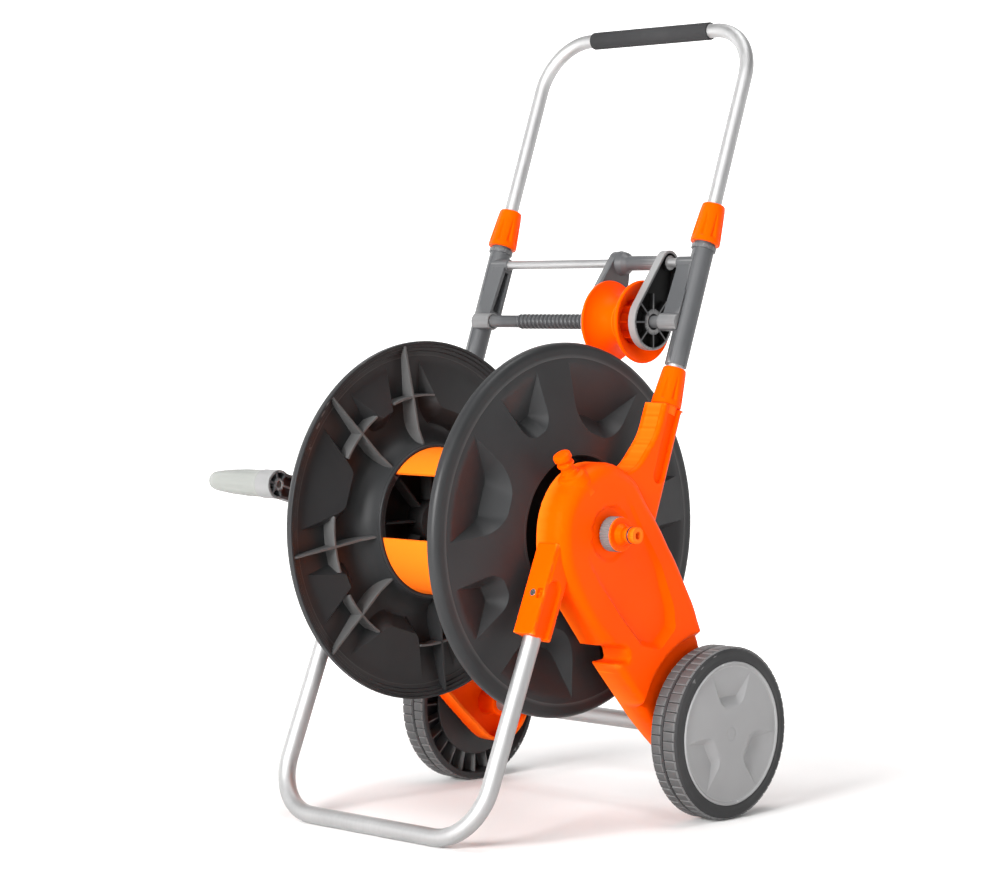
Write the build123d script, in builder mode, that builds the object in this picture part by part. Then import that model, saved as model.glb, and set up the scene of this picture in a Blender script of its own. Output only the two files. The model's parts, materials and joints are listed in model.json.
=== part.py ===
from build123d import *
import math
import os

os.makedirs("parts", exist_ok=True)

# Garden hose reel cart, millimetres. +X is the tap side, -X the crank side,
# +Y the wheels and handle, -Y the front leg, +Z up, and the ground is z = 0.

# ---- driving dimensions -------------------------------------------------------------------
# drum
DRUM_Z = 317.0            # height of the drum axis
FLANGE_R = 200.0
FLANGE_X = 116.0          # outer plane of the flange rim, from the middle of the drum
RIM_W = 12.0              # width of the flange rim
RIM_R = 186.0             # inside of the flange rim
HUB_OPEN_R = 81.0         # opening in the outer face round the hub
HUB_X = 130.0             # top of the domed face, at the hub opening
WEB = 3.0                 # wall of the drum mouldings
BARREL_R = 82.0
BARREL_HALF = 94.0
BARREL_ARC = 126.5        # degrees that each barrel shell covers
BARREL_MIDS = (73.75, 253.75)
COLLAR_R = 85.0
COLLAR_X = 88.0           # inner end of the collar that holds the barrel shells
SPINDLE_R = 12.0
FIT = 0.06                # radial clearance of a running fit
GAP = 0.3                 # space between pieces that move past each other

# side panels
PANEL_IN = 138.5
PANEL_OUT = 176.0
PANEL_WALL = 3.5
HEAD_R = 74.5
FOOT_R = 45.0
POCKET_R = 110.0          # clearance for the wheel, round the wheel axle
POCKET_X = 167.0

# wheels
WHEEL_R = 94.0
AXLE_Y = 155.6            # wheel axle, behind the drum axis
AXLE_R = 5.0
WHEEL_IN = 174.5
WHEEL_OUT = 210.8
HUBCAP_OUT = 212.0
HUBCAP_R = 78.0

# tubes
TUBE_R = 9.5
TUBE_WALL = 1.35
HANDLE_R = 8.0
HANDLE_WALL = 1.2
BEND_R = 60.0
TUBE_X = 155.5            # both tube frames, from the middle plane
LEG_LEAN = 22.34          # degrees from upright
MAST_LEAN = 19.8
MAST_BACK = 61.4          # the mast axis passes this far behind the drum axis
LEG_TOP = (-97.0, 213.4)  # y from the drum axis and height of the leg socket's mouth
LEG_SPAN = 220.45         # socket mouth to the middle of the ground bar
LEG_TUCK = 82.0

# distances along the mast from the height of the drum axis
MAST_FOOT = 22.0
SOCKET_TOP = 138.0
LOW_COLLAR = (139.0, 181.5)
SLEEVE = (185.0, 323.0)
NECK_TOP = 345.0
TOP_COLLAR = (326.0, 370.5)
HANDLE_FOOT = 160.0
HANDLE_TOP = 583.0
GRIP_HALF = 88.7
GRIP_R = 10.0

# hose guide
SCREW_S, SCREW_N = 232.2, -9.1
ROD_S, ROD_N = 302.5, -5.3
LUG_X = 129.5
ROD_R = 5.0
SCREW_R = 7.0
ROLLER_R = 47.0
ROLLER_WAIST = 24.0
ROLLER_X = (50.0, 103.4)
PLATE_RIGHT = (107.5, 117.0)
PLATE_LEFT = (36.6, 46.0)

# crank
CRANK_R = 155.0
CRANK_ANGLE = 164.0
CRANK_BOSS_X = (182.0, 205.0)
GRIP_TIP = 295.0
PIN_R = 4.0

# tap inlet
INLET_RING_X = (175.7, 188.4)
INLET_TIP = 213.5
STUB_R = 8.75
STUB_BORE = 4.25

# ---- frame of the model: the middle of the overall box, on the ground -----------------------
LEAN_Y = math.sin(math.radians(MAST_LEAN))
LEAN_Z = math.cos(math.radians(MAST_LEAN))
LEG_Y = math.sin(math.radians(LEG_LEAN))
LEG_Z = math.cos(math.radians(LEG_LEAN))
FRONT = LEG_TOP[0] - LEG_SPAN * LEG_Y - TUBE_R
BACK = MAST_BACK + HANDLE_TOP * LEAN_Y + GRIP_R
MID_X = (GRIP_TIP - INLET_TIP) / 2
DRUM_Y = -(FRONT + BACK) / 2
AXLE_V = WHEEL_R - DRUM_Z

DRUM = Vector(MID_X, DRUM_Y, DRUM_Z)
AXLE = DRUM + Vector(0, AXLE_Y, AXLE_V)
CRANK_Y = CRANK_R * math.cos(math.radians(CRANK_ANGLE))
CRANK_V = CRANK_R * math.sin(math.radians(CRANK_ANGLE))
CRANK = DRUM + Vector(0, CRANK_Y, CRANK_V)
MAST_DIR = Vector(0, LEAN_Y, LEAN_Z)
MAST_OUT = Vector(0, LEAN_Z, -LEAN_Y)
LEG_DIR = Vector(0, -LEG_Y, -LEG_Z)
MAST_BASE = DRUM + Vector(0, MAST_BACK, 0)
SCREW = MAST_BASE + MAST_DIR * SCREW_S + MAST_OUT * SCREW_N
ROD = MAST_BASE + MAST_DIR * ROD_S + MAST_OUT * ROD_N
LEG_MOUTH = Vector(MID_X, DRUM_Y + LEG_TOP[0], LEG_TOP[1])
MIDDLE = Plane.YZ.offset(MID_X)


def across(x):
    """Plane square to the drum axis, x from the middle: local axes +Y and +Z from the drum axis."""
    return Plane(origin=DRUM + Vector(x, 0, 0), x_dir=(0, 1, 0), z_dir=(1, 0, 0))


def turning(centre):
    """Upright plane through centre for outlines of (distance along X, radius)."""
    return Plane(origin=centre, x_dir=(1, 0, 0), z_dir=(0, -1, 0))


def mast_cross(s, x=TUBE_X):
    """Plane square to the right mast tube: local x is +X, local y points back and down."""
    return Plane(origin=MAST_BASE + MAST_DIR * s + Vector(x, 0, 0), x_dir=(1, 0, 0), z_dir=MAST_DIR)


DRUM_AXIS = Axis(DRUM, (1, 0, 0))
AXLE_AXIS = Axis(AXLE, (1, 0, 0))
CRANK_AXIS = Axis(CRANK, (1, 0, 0))
SCREW_AXIS = Axis(SCREW, (1, 0, 0))
ROD_AXIS = Axis(ROD, (1, 0, 0))
MAST_FACE = Plane(origin=MAST_BASE, x_dir=(1, 0, 0), z_dir=(0, -LEAN_Z, LEAN_Y))
LEG_FACE = Plane(origin=LEG_MOUTH, x_dir=(1, 0, 0), z_dir=(0, -LEG_Z, LEG_Y))


def finish(part, name):
    """Label one finished piece and write it."""
    part.label = name
    export_step(part, "parts/" + name + ".step")


# ---- self-tapping screws, and where they hold the barrel shells --------------------------------
SCREW_HEAD_R, SCREW_HEAD_H = 3.8, 2.6
SHANK_R = 1.65
PILOT_R = 1.7
SCREW_BOSS_R = 5.0
SCREW_RING = BARREL_R - WEB - SCREW_BOSS_R + 1
SCREW_SPREAD = 44.0       # degrees from a shell's middle to each of its screws


def screw_spots(mid):
    """The two screw places of one shell, on the ring of screw bosses."""
    return PolarLocations(
        SCREW_RING, 2, start_angle=mid - SCREW_SPREAD, angular_range=2 * SCREW_SPREAD, endpoint=True
    )


# ---- drum flanges ---------------------------------------------------------------------------
DOME = ((HUB_X, HUB_OPEN_R), (124.6, 115.0), (FLANGE_X, RIM_R))
RIB_EDGE = 101.0
RIB_T = 2.6
RING_RIB_R = 140.0
RIB_ANGLES = (9.1, 44.9)
SCOOP_FLOOR = 107.0
SCOOP_TAPER = 12.0
BIG_SCOOP, SMALL_SCOOP = 72.0, 117.0


def scoop_outline(mid, half_out, half_in, r_out, r_in, grow):
    """Four-cornered outline of one scoop in the drum's cross plane, grown on all sides."""
    points = []
    for r, half in ((r_out, half_out), (r_out, -half_out), (r_in, -half_in), (r_in, half_in)):
        a = math.radians(mid + half)
        points.append((r * math.cos(a), r * math.sin(a)))
    with BuildSketch() as outline:
        with BuildLine():
            Polyline(*points, close=True)
        make_face()
        fillet(outline.vertices(), 8)
        if grow:
            offset(amount=grow, mode=Mode.REPLACE)
    return outline.sketch


SCOOPS = ((BIG_SCOOP, 19.0, 9.5, 181.0, 109.0), (SMALL_SCOOP, 10.0, 6.5, 178.0, 117.0))

with BuildPart() as scoop_backs:
    for scoop in SCOOPS:
        with BuildSketch(across(HUB_X + 4)):
            with PolarLocations(0, 4):
                add(scoop_outline(*scoop, WEB))
        extrude(amount=-(HUB_X + 4 - SCOOP_FLOOR + WEB), taper=SCOOP_TAPER)
    with BuildSketch(turning(DRUM)):
        with BuildLine():
            dome_line = ThreePointArc(*DOME)
            Polyline(dome_line @ 1, (90, RIM_R), (90, HUB_OPEN_R), dome_line @ 0)
        make_face()
    revolve(axis=DRUM_AXIS, mode=Mode.INTERSECT)

with BuildPart() as right_flange:
    # domed face with its rolled rim
    with BuildSketch(turning(DRUM)):
        with BuildLine():
            outer = ThreePointArc(*DOME)
            rim_top = Line(outer @ 1, (FLANGE_X, FLANGE_R - 6))
            rim_round = RadiusArc(rim_top @ 1, (FLANGE_X - 6, FLANGE_R), 6)
            rim_side = Line(rim_round @ 1, (FLANGE_X - RIM_W, FLANGE_R))
            rim_foot = Line(rim_side @ 1, (FLANGE_X - RIM_W, FLANGE_R - WEB))
            rim_in = Line(rim_foot @ 1, (FLANGE_X - 7, FLANGE_R - WEB - 1))
            rim_floor = Line(rim_in @ 1, (FLANGE_X - WEB, RIM_R - 2))
            inner = ThreePointArc(rim_floor @ 1, (124.6 - WEB, 114.0), (HUB_X - WEB, HUB_OPEN_R + WEB))
            Line(inner @ 1, outer @ 0)
        make_face()
    revolve(axis=DRUM_AXIS)
    # collar, hub web and bearing hub
    with BuildSketch(turning(DRUM)):
        with BuildLine():
            Polyline(
                (HUB_X, HUB_OPEN_R), (HUB_X - WEB, COLLAR_R + 1), (COLLAR_X, COLLAR_R),
                (COLLAR_X, BARREL_R + 0.1), (BARREL_HALF, BARREL_R + 0.1), (BARREL_HALF, 22),
                (BARREL_HALF - 6, 22), (BARREL_HALF - 6, SPINDLE_R + FIT), (HUB_X - 6, SPINDLE_R + FIT),
                (HUB_X - 6, 20), (BARREL_HALF + WEB, 22), (BARREL_HALF + WEB, BARREL_R - WEB),
                (HUB_X - 2, HUB_OPEN_R - 1), close=True,
            )
        make_face()
    revolve(axis=DRUM_AXIS)
    # ring rib and radial ribs on the hose side
    with BuildSketch(across(RIB_EDGE)):
        Circle(RING_RIB_R + RIB_T / 2)
        Circle(RING_RIB_R - RIB_T / 2, mode=Mode.SUBTRACT)
        for angle in RIB_ANGLES:
            with PolarLocations((COLLAR_R + FLANGE_R - WEB) / 2, 4, start_angle=angle):
                Rectangle(FLANGE_R - WEB - COLLAR_R + 1, RIB_T)
    extrude(amount=FLANGE_X - WEB - RIB_EDGE + 1)
    add(scoop_backs.part)
    for scoop in SCOOPS:
        with BuildSketch(across(HUB_X + 4)):
            with PolarLocations(0, 4):
                add(scoop_outline(*scoop, 0))
        extrude(amount=-(HUB_X + 4 - SCOOP_FLOOR), taper=SCOOP_TAPER, mode=Mode.SUBTRACT)
    # clearance holes for the barrel screws
    with BuildSketch(across(BARREL_HALF - 1)):
        for mid in BARREL_MIDS:
            with screw_spots(mid):
                Circle(PILOT_R)
    extrude(amount=WEB + 2, mode=Mode.SUBTRACT)
finish(right_flange.part, "right_flange")

with BuildPart() as left_flange:
    mirror(right_flange.part, about=MIDDLE)
finish(left_flange.part, "left_flange")

# ---- barrel: two shells with a window between them on each side ---------------------------------
BOSS_LENGTH = 24.0

for name, mid in zip(("upper_barrel_shell", "lower_barrel_shell"), BARREL_MIDS):
    with BuildPart() as shell:
        with BuildSketch(across(-BARREL_HALF + 0.2)):
            with BuildLine():
                outside = CenterArc((0, 0), BARREL_R, mid - BARREL_ARC / 2, BARREL_ARC)
                inside = CenterArc((0, 0), BARREL_R - WEB, mid - BARREL_ARC / 2, BARREL_ARC)
                Line(outside @ 0, inside @ 0)
                Line(outside @ 1, inside @ 1)
            make_face()
        extrude(amount=2 * BARREL_HALF - 0.4)
        for start in (-BARREL_HALF + 0.2, BARREL_HALF - BOSS_LENGTH - 0.2):
            with BuildSketch(across(start)):
                with screw_spots(mid):
                    Circle(SCREW_BOSS_R)
                    Circle(PILOT_R, mode=Mode.SUBTRACT)
            extrude(amount=BOSS_LENGTH)
    finish(shell.part, name)

# ---- screws that hold the shells to the flanges --------------------------------------------------
DRUM_SCREW_L = 18.0

with BuildPart() as drum_screws:
    for side in (1, -1):
        face = side * (BARREL_HALF + WEB)
        for mid in BARREL_MIDS:
            with BuildSketch(across(face)):
                with screw_spots(mid):
                    Circle(SCREW_HEAD_R)
            extrude(amount=side * SCREW_HEAD_H)
            with BuildSketch(across(face)):
                with screw_spots(mid):
                    Circle(SHANK_R)
            extrude(amount=-side * DRUM_SCREW_L)
finish(drum_screws.part, "drum_screws")

# ---- rotating hose outlet inside the drum ---------------------------------------------------------
ELBOW_X = (62.0, 94.0 - 6.2)
ELBOW_R = 18.0
OUTLET_ANGLE = 164.0
OUTLET_TIP = 68.0
OUTLET_X = 74.0
SPINDLE_END = 70.0

with BuildPart() as hose_outlet:
    with BuildSketch(turning(DRUM)):
        with BuildLine():
            Polyline(
                (ELBOW_X[0], 0), (ELBOW_X[0], ELBOW_R), (ELBOW_X[1], ELBOW_R), (ELBOW_X[1], SPINDLE_R + FIT),
                (SPINDLE_END - 0.5, SPINDLE_R + FIT), (SPINDLE_END - 0.5, 6), (ELBOW_X[0] + 3, 6),
                (ELBOW_X[0] + 3, 0), close=True,
            )
        make_face()
    revolve(axis=DRUM_AXIS)
    outlet_dir = Vector(0, math.cos(math.radians(OUTLET_ANGLE)), math.sin(math.radians(OUTLET_ANGLE)))
    outlet_foot = DRUM + Vector(OUTLET_X - 6, 0, 0)
    outlet_plane = Plane(origin=outlet_foot + outlet_dir * 8, x_dir=(1, 0, 0), z_dir=outlet_dir)
    with BuildSketch(outlet_plane):
        Circle(9)
    extrude(amount=26)
    with BuildSketch(outlet_plane.offset(26)):
        Circle(12)
    extrude(amount=4)
    with BuildSketch(outlet_plane.offset(30)):
        Circle(STUB_R)
    extrude(amount=OUTLET_TIP - 38)
    with BuildSketch(outlet_plane.offset(-4)):
        Circle(STUB_BORE)
    extrude(amount=OUTLET_TIP, mode=Mode.SUBTRACT)
    with BuildSketch(turning(DRUM)):
        with BuildLine():
            Polyline(
                (SPINDLE_END - 0.5, 0), (ELBOW_X[1] + 1, 0), (ELBOW_X[1] + 1, SPINDLE_R + FIT),
                (SPINDLE_END - 0.5, SPINDLE_R + FIT), close=True,
            )
        make_face()
    revolve(axis=DRUM_AXIS, mode=Mode.SUBTRACT)
finish(hose_outlet.part, "hose_outlet")

# ---- crank: hollow shaft through the left panel, arm, screw, pin and grip ----------------------------
CRANK_FACE = CRANK_BOSS_X[0]
ARM_T = 14.0
ARM_WALL = 3.0
ARM_HUB_R, BOSS_R = 20.0, 16.0
SQUARE = 15.0
SHAFT_TIP = CRANK_FACE + ARM_T
CRANK_SCREW_R, CRANK_SCREW_L = 2.4, 22.0

with BuildPart() as crank_shaft:
    with BuildSketch(across(-(BARREL_HALF - 6))):
        Circle(SPINDLE_R)
    extrude(amount=-(CRANK_FACE - GAP - BARREL_HALF + 6))
    with BuildSketch(across(-(CRANK_FACE - GAP))):
        Rectangle(SQUARE, SQUARE)
    extrude(amount=-(ARM_T - ARM_WALL))
    with BuildSketch(across(-(BARREL_HALF - 6))):
        Circle(SPINDLE_R - WEB)
    extrude(amount=-(CRANK_FACE - 20 - BARREL_HALF), mode=Mode.SUBTRACT)
    with BuildSketch(across(-SHAFT_TIP)):
        Circle(CRANK_SCREW_R)
    extrude(amount=CRANK_SCREW_L, mode=Mode.SUBTRACT)
finish(crank_shaft.part, "crank_shaft")

with BuildPart() as crank_arm:
    with BuildSketch(across(-CRANK_FACE)) as arm_shape:
        Circle(ARM_HUB_R)
        with Locations((CRANK_Y, CRANK_V)):
            Circle(BOSS_R)
        with PolarLocations(CRANK_R / 2, 1, start_angle=CRANK_ANGLE):
            Rectangle(CRANK_R, 2 * BOSS_R - 4)
    extrude(amount=-ARM_T)
    with Locations(across(-CRANK_FACE) * Location((CRANK_Y, CRANK_V, 0))):
        Cylinder(
            BOSS_R, CRANK_BOSS_X[1] - CRANK_FACE - GAP, rotation=(180, 0, 0),
            align=(Align.CENTER, Align.CENTER, Align.MIN),
        )
    # hollow back of the arm with its ribs left standing
    with BuildSketch(across(-CRANK_FACE)):
        add(arm_shape.sketch_local)
        offset(amount=-ARM_WALL, mode=Mode.REPLACE)
        Circle(ARM_HUB_R - 2, mode=Mode.SUBTRACT)
        with Locations((CRANK_Y, CRANK_V)):
            Circle(PIN_R + 3, mode=Mode.SUBTRACT)
            with PolarLocations(BOSS_R / 2, 6, start_angle=CRANK_ANGLE):
                Rectangle(BOSS_R, 2, mode=Mode.SUBTRACT)
        for along in (45, 80, 115):
            with PolarLocations(along, 1, start_angle=CRANK_ANGLE):
                Rectangle(2.4, 2 * BOSS_R, mode=Mode.SUBTRACT)
    extrude(amount=-(ARM_T - ARM_WALL), mode=Mode.SUBTRACT)
    with BuildSketch(across(-CRANK_FACE + 1)):
        Rectangle(SQUARE + 0.1, SQUARE + 0.1)
        with Locations((CRANK_Y, CRANK_V)):
            Circle(PIN_R)
    extrude(amount=-(ARM_T - ARM_WALL + 1), mode=Mode.SUBTRACT)
    with BuildSketch(across(-CRANK_FACE + 1)):
        Circle(CRANK_SCREW_R + 0.2)
        with Locations((CRANK_Y, CRANK_V)):
            Circle(PIN_R)
    extrude(amount=-(CRANK_BOSS_X[1] - CRANK_FACE + 2), mode=Mode.SUBTRACT)
finish(crank_arm.part, "crank_arm")

with BuildPart() as crank_screw:
    with BuildSketch(turning(DRUM)):
        with BuildLine():
            Polyline(
                (-SHAFT_TIP - 2.8, 0), (-SHAFT_TIP - 2.8, 4.2), (-SHAFT_TIP, 4.4), (-SHAFT_TIP, CRANK_SCREW_R),
                (-SHAFT_TIP + CRANK_SCREW_L - 2, CRANK_SCREW_R), (-SHAFT_TIP + CRANK_SCREW_L - 2, 0),
                close=True,
            )
        make_face()
    revolve(axis=DRUM_AXIS)
finish(crank_screw.part, "crank_screw")

GRIP_X = CRANK_BOSS_X[1]
PIN_TIP = GRIP_TIP - 12.0

with BuildPart() as crank_pin:
    with BuildSketch(turning(CRANK)):
        with BuildLine():
            Polyline(
                (-CRANK_FACE - 0.5, 0), (-CRANK_FACE - 0.5, PIN_R), (-PIN_TIP + 4, PIN_R),
                (-PIN_TIP + 4, PIN_R - 1.2), (-PIN_TIP + 2, PIN_R - 1.2), (-PIN_TIP + 2, PIN_R - 0.2),
                (-PIN_TIP, PIN_R - 1), (-PIN_TIP, 0), close=True,
            )
        make_face()
    revolve(axis=CRANK_AXIS)
finish(crank_pin.part, "crank_pin")

with BuildPart() as crank_grip:
    with BuildSketch(turning(CRANK)):
        with BuildLine():
            base = Line((-GRIP_X, PIN_R + FIT), (-GRIP_X, 14.6))
            lip = RadiusArc(base @ 1, (-GRIP_X - 2, 15.5), -2.4)
            body = ThreePointArc(lip @ 1, (-GRIP_X - 45, 14.2), (-GRIP_TIP + 9, 11.0))
            nose = TangentArc(body @ 1, (-GRIP_TIP, 3.0), tangent=body % 1)
            Polyline(nose @ 1, (-GRIP_TIP, 0), (-PIN_TIP - 1, 0), (-PIN_TIP - 1, PIN_R + FIT), base @ 0)
        make_face()
    revolve(axis=CRANK_AXIS)
finish(crank_grip.part, "crank_grip")

# ---- wheels on their steel axle -------------------------------------------------------------------
DISC_X = 199.0
DISC_T = 3.0
TYRE_T = 8.0
WHEEL_HUB_R = 14.0
AXLE_END = 206.5
NUT_X = (DISC_X + DISC_T + GAP, DISC_X + DISC_T + 2.4)
BACK_DISC_R = 64.0

with BuildPart() as wheel_right:
    with BuildSketch(turning(AXLE)):
        with BuildLine():
            Polyline(
                (WHEEL_IN, WHEEL_R - 3), (WHEEL_IN + 3, WHEEL_R), (WHEEL_OUT - 4, WHEEL_R),
                (WHEEL_OUT, WHEEL_R - 4),
                (WHEEL_OUT, HUBCAP_R + 0.1), (DISC_X + DISC_T, HUBCAP_R + 0.1), (DISC_X + DISC_T, AXLE_R + FIT),
                (WHEEL_IN, AXLE_R + FIT), (WHEEL_IN, WHEEL_HUB_R), (WHEEL_IN + 4, WHEEL_HUB_R),
                (WHEEL_IN + 4, BACK_DISC_R), (WHEEL_IN + 7, BACK_DISC_R - 1), (WHEEL_IN + 7, WHEEL_HUB_R + 3),
                (DISC_X, WHEEL_HUB_R + 3), (DISC_X, WHEEL_R - TYRE_T), (WHEEL_IN, WHEEL_R - TYRE_T), close=True,
            )
        make_face()
    revolve(axis=AXLE_AXIS)
    with BuildSketch(across(WHEEL_IN + 4)):
        with Locations((AXLE_Y, AXLE_V)):
            with PolarLocations((WHEEL_R - TYRE_T + WHEEL_HUB_R) / 2 + 1, 24):
                Rectangle(WHEEL_R - TYRE_T - WHEEL_HUB_R - 1, 2)
    extrude(amount=DISC_X - WHEEL_IN - 3)
finish(wheel_right.part, "wheel_right")

with BuildPart() as hubcap_right:
    with BuildSketch(turning(AXLE)):
        with BuildLine():
            Polyline(
                (DISC_X + DISC_T, HUBCAP_R - 3), (DISC_X + DISC_T, HUBCAP_R), (HUBCAP_OUT - 2, HUBCAP_R),
                (HUBCAP_OUT, HUBCAP_R - 2), (HUBCAP_OUT, 0), (HUBCAP_OUT - 3, 0),
                (HUBCAP_OUT - 3, HUBCAP_R - 3),
                close=True,
            )
        make_face()
    revolve(axis=AXLE_AXIS)
finish(hubcap_right.part, "hubcap_right")

with BuildPart() as wheel_left:
    mirror(wheel_right.part, about=MIDDLE)
finish(wheel_left.part, "wheel_left")

with BuildPart() as hubcap_left:
    mirror(hubcap_right.part, about=MIDDLE)
finish(hubcap_left.part, "hubcap_left")

with BuildPart() as wheel_axle:
    with BuildSketch(across(-AXLE_END)):
        with Locations((AXLE_Y, AXLE_V)):
            Circle(AXLE_R)
    extrude(amount=2 * AXLE_END)
finish(wheel_axle.part, "wheel_axle")

with BuildPart() as axle_push_nuts:
    for start in (NUT_X[0], -NUT_X[1]):
        with BuildSketch(across(start)):
            with Locations((AXLE_Y, AXLE_V)):
                Circle(9)
                Circle(AXLE_R, mode=Mode.SUBTRACT)
        extrude(amount=NUT_X[1] - NUT_X[0])
finish(axle_push_nuts.part, "axle_push_nuts")

with BuildPart() as axle_tube:
    with BuildSketch(across(-PANEL_IN - 2)):
        with Locations((AXLE_Y, AXLE_V)):
            Circle(TUBE_R)
            Circle(TUBE_R - TUBE_WALL, mode=Mode.SUBTRACT)
    extrude(amount=2 * (PANEL_IN + 2))
finish(axle_tube.part, "axle_tube")

# ---- side panels ----------------------------------------------------------------------------------
BAND = (
    (52.0, 43.0), (83.5, -2.0), (109.0, -40.0), (135.0, -84.4), (153.0, -128.4), (193.0, -200.0),
    (160.0, -266.0), (124.0, -254.0), (92.0, -226.0), (69.0, -204.0), (-6.5, -118.5), (-45.0, -72.0),
    (-60.0, -40.0),
)
ARM_FRONT, ARM_BACK = -18.0, 14.0
SOCKET_W, SOCKET_D = 30.0, 26.0
SOCKET_UP = 105.0
LEG_X = TUBE_X - 1.0
NOTCH = (5.5, -126.5)
NOTCH_R = 9.0
DISH_R, DISH_DEPTH = 30.0, 2.5
HUB_BOSS_R = 32.0
AXLE_BOSS_R = 15.0
AXLE_BOSS_OUT = 173.0
RIB = 2.6
EDGE = 7.0
RIB_LINES = (
    ((0, 0), (AXLE_Y, AXLE_V)), ((-60, -62), (120, 70)), ((-20, -110), (120, -20)), ((20, -150), (150, -60)),
    ((60, -195), (150, -120)), ((50, -190), (90, -10)), ((0, 0), (-70, 20)),
)
NECK_R = TUBE_R + 2.6
LOW_NECK = 160.0
LEG_SCREW_S = 44.0
LEG_SCREW_L = 12.0
SPIGOT_ANGLE = 124.0
SPIGOT_X = 157.0
SPIGOT_TIP = 103.0
SPIGOT_BASE_R, SPIGOT_NECK_R, SPIGOT_HEAD = 17.5, 8.0, 7.0
LEG_CROSS = Plane(origin=LEG_MOUTH + Vector(LEG_X, 0, 0), x_dir=(1, 0, 0), z_dir=-LEG_DIR)
LEG_SCREW_PLANE = Plane(
    origin=LEG_MOUTH + Vector(LEG_X, 0, 0) - LEG_DIR * LEG_SCREW_S, x_dir=(1, 0, 0), z_dir=(0, -LEG_Z, LEG_Y)
)


def on_mast(s, n):
    """Cross-plane coordinates of the point s along the mast and n behind it."""
    return (MAST_BACK + s * LEAN_Y + n * LEAN_Z, s * LEAN_Z - n * LEAN_Y)


with BuildSketch() as panel_outline:
    Circle(HEAD_R)
    with BuildLine():
        Polyline(*BAND, close=True)
    make_face()
    with Locations((AXLE_Y, AXLE_V)):
        Circle(FOOT_R)
    with BuildLine():
        Polyline(
            on_mast(-30, ARM_FRONT), on_mast(SOCKET_TOP, ARM_FRONT), on_mast(SOCKET_TOP, 2), on_mast(-30, 2),
            close=True,
        )
    make_face()
    with Locations(NOTCH):
        Circle(NOTCH_R, mode=Mode.SUBTRACT)

with BuildSketch() as panel_cavity:
    offset(panel_outline.sketch, amount=-PANEL_WALL)

with BuildPart() as panel:
    with BuildSketch(across(PANEL_IN)):
        add(panel_outline.sketch)
    extrude(amount=PANEL_OUT - PANEL_IN)
    fillet(panel.faces().sort_by(Axis.X)[-1].edges().filter_by(lambda edge: edge.length > 6), EDGE)
    # open inner side, shallower where the outer face steps in behind the wheel
    with BuildSketch(across(PANEL_IN)):
        add(panel_cavity.sketch)
        with Locations((AXLE_Y, AXLE_V)):
            Circle(POCKET_R + PANEL_WALL, mode=Mode.SUBTRACT)
    extrude(amount=PANEL_OUT - PANEL_WALL - PANEL_IN, mode=Mode.SUBTRACT)
    with BuildSketch(across(PANEL_IN)):
        add(panel_cavity.sketch)
        with Locations((AXLE_Y, AXLE_V)):
            Circle(POCKET_R + PANEL_WALL, mode=Mode.INTERSECT)
    extrude(amount=POCKET_X - PANEL_WALL - PANEL_IN, mode=Mode.SUBTRACT)
    # ribs, drum bearing boss and axle boss
    with BuildSketch(across(PANEL_IN + 2)):
        for rib_start, rib_end in RIB_LINES:
            with BuildLine():
                Line(rib_start, rib_end)
            trace(line_width=RIB)
        add(panel_cavity.sketch, mode=Mode.INTERSECT)
    extrude(amount=PANEL_OUT - PANEL_WALL - PANEL_IN - 2)
    with BuildSketch(across(PANEL_IN)):
        Circle(HUB_BOSS_R)
    extrude(amount=PANEL_OUT - PANEL_IN - 4)
    with BuildSketch(across(POCKET_X)):
        with Locations((AXLE_Y, AXLE_V)):
            Circle(POCKET_R)
    extrude(amount=PANEL_OUT - POCKET_X + 1, mode=Mode.SUBTRACT)
    with BuildSketch(across(PANEL_IN)):
        with Locations((AXLE_Y, AXLE_V)):
            Circle(AXLE_BOSS_R)
    extrude(amount=AXLE_BOSS_OUT - PANEL_IN)
    # mast socket: round boss, with a neck that the collar grips
    with BuildSketch(mast_cross(4)):
        Circle(ARM_BACK)
    extrude(amount=SOCKET_TOP - 4)
    with BuildSketch(mast_cross(SOCKET_TOP)):
        Circle(NECK_R)
    extrude(amount=LOW_NECK - SOCKET_TOP)
    with BuildSketch(mast_cross(12)):
        Circle(TUBE_R + FIT)
    extrude(amount=LOW_NECK, mode=Mode.SUBTRACT)
    # leg socket
    with BuildSketch(LEG_CROSS):
        Rectangle(SOCKET_D, SOCKET_W)
        fillet(vertices(), 5)
    extrude(amount=SOCKET_UP)
    with BuildSketch(LEG_CROSS.offset(-1)):
        Circle(TUBE_R + 0.02)
    extrude(amount=LEG_TUCK + 2, mode=Mode.SUBTRACT)
    with BuildSketch(LEG_SCREW_PLANE):
        Circle(PILOT_R)
    extrude(amount=SOCKET_W, mode=Mode.SUBTRACT)
    # axle bore, and room for the spacer tube's end
    with BuildSketch(across(PANEL_IN - 1)):
        with Locations((AXLE_Y, AXLE_V)):
            Circle(AXLE_R + 0.02)
    extrude(amount=PANEL_OUT - PANEL_IN, mode=Mode.SUBTRACT)
    with BuildSketch(across(PANEL_IN - 1)):
        with Locations((AXLE_Y, AXLE_V)):
            Circle(TUBE_R + 0.02)
    extrude(amount=3, mode=Mode.SUBTRACT)

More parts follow.
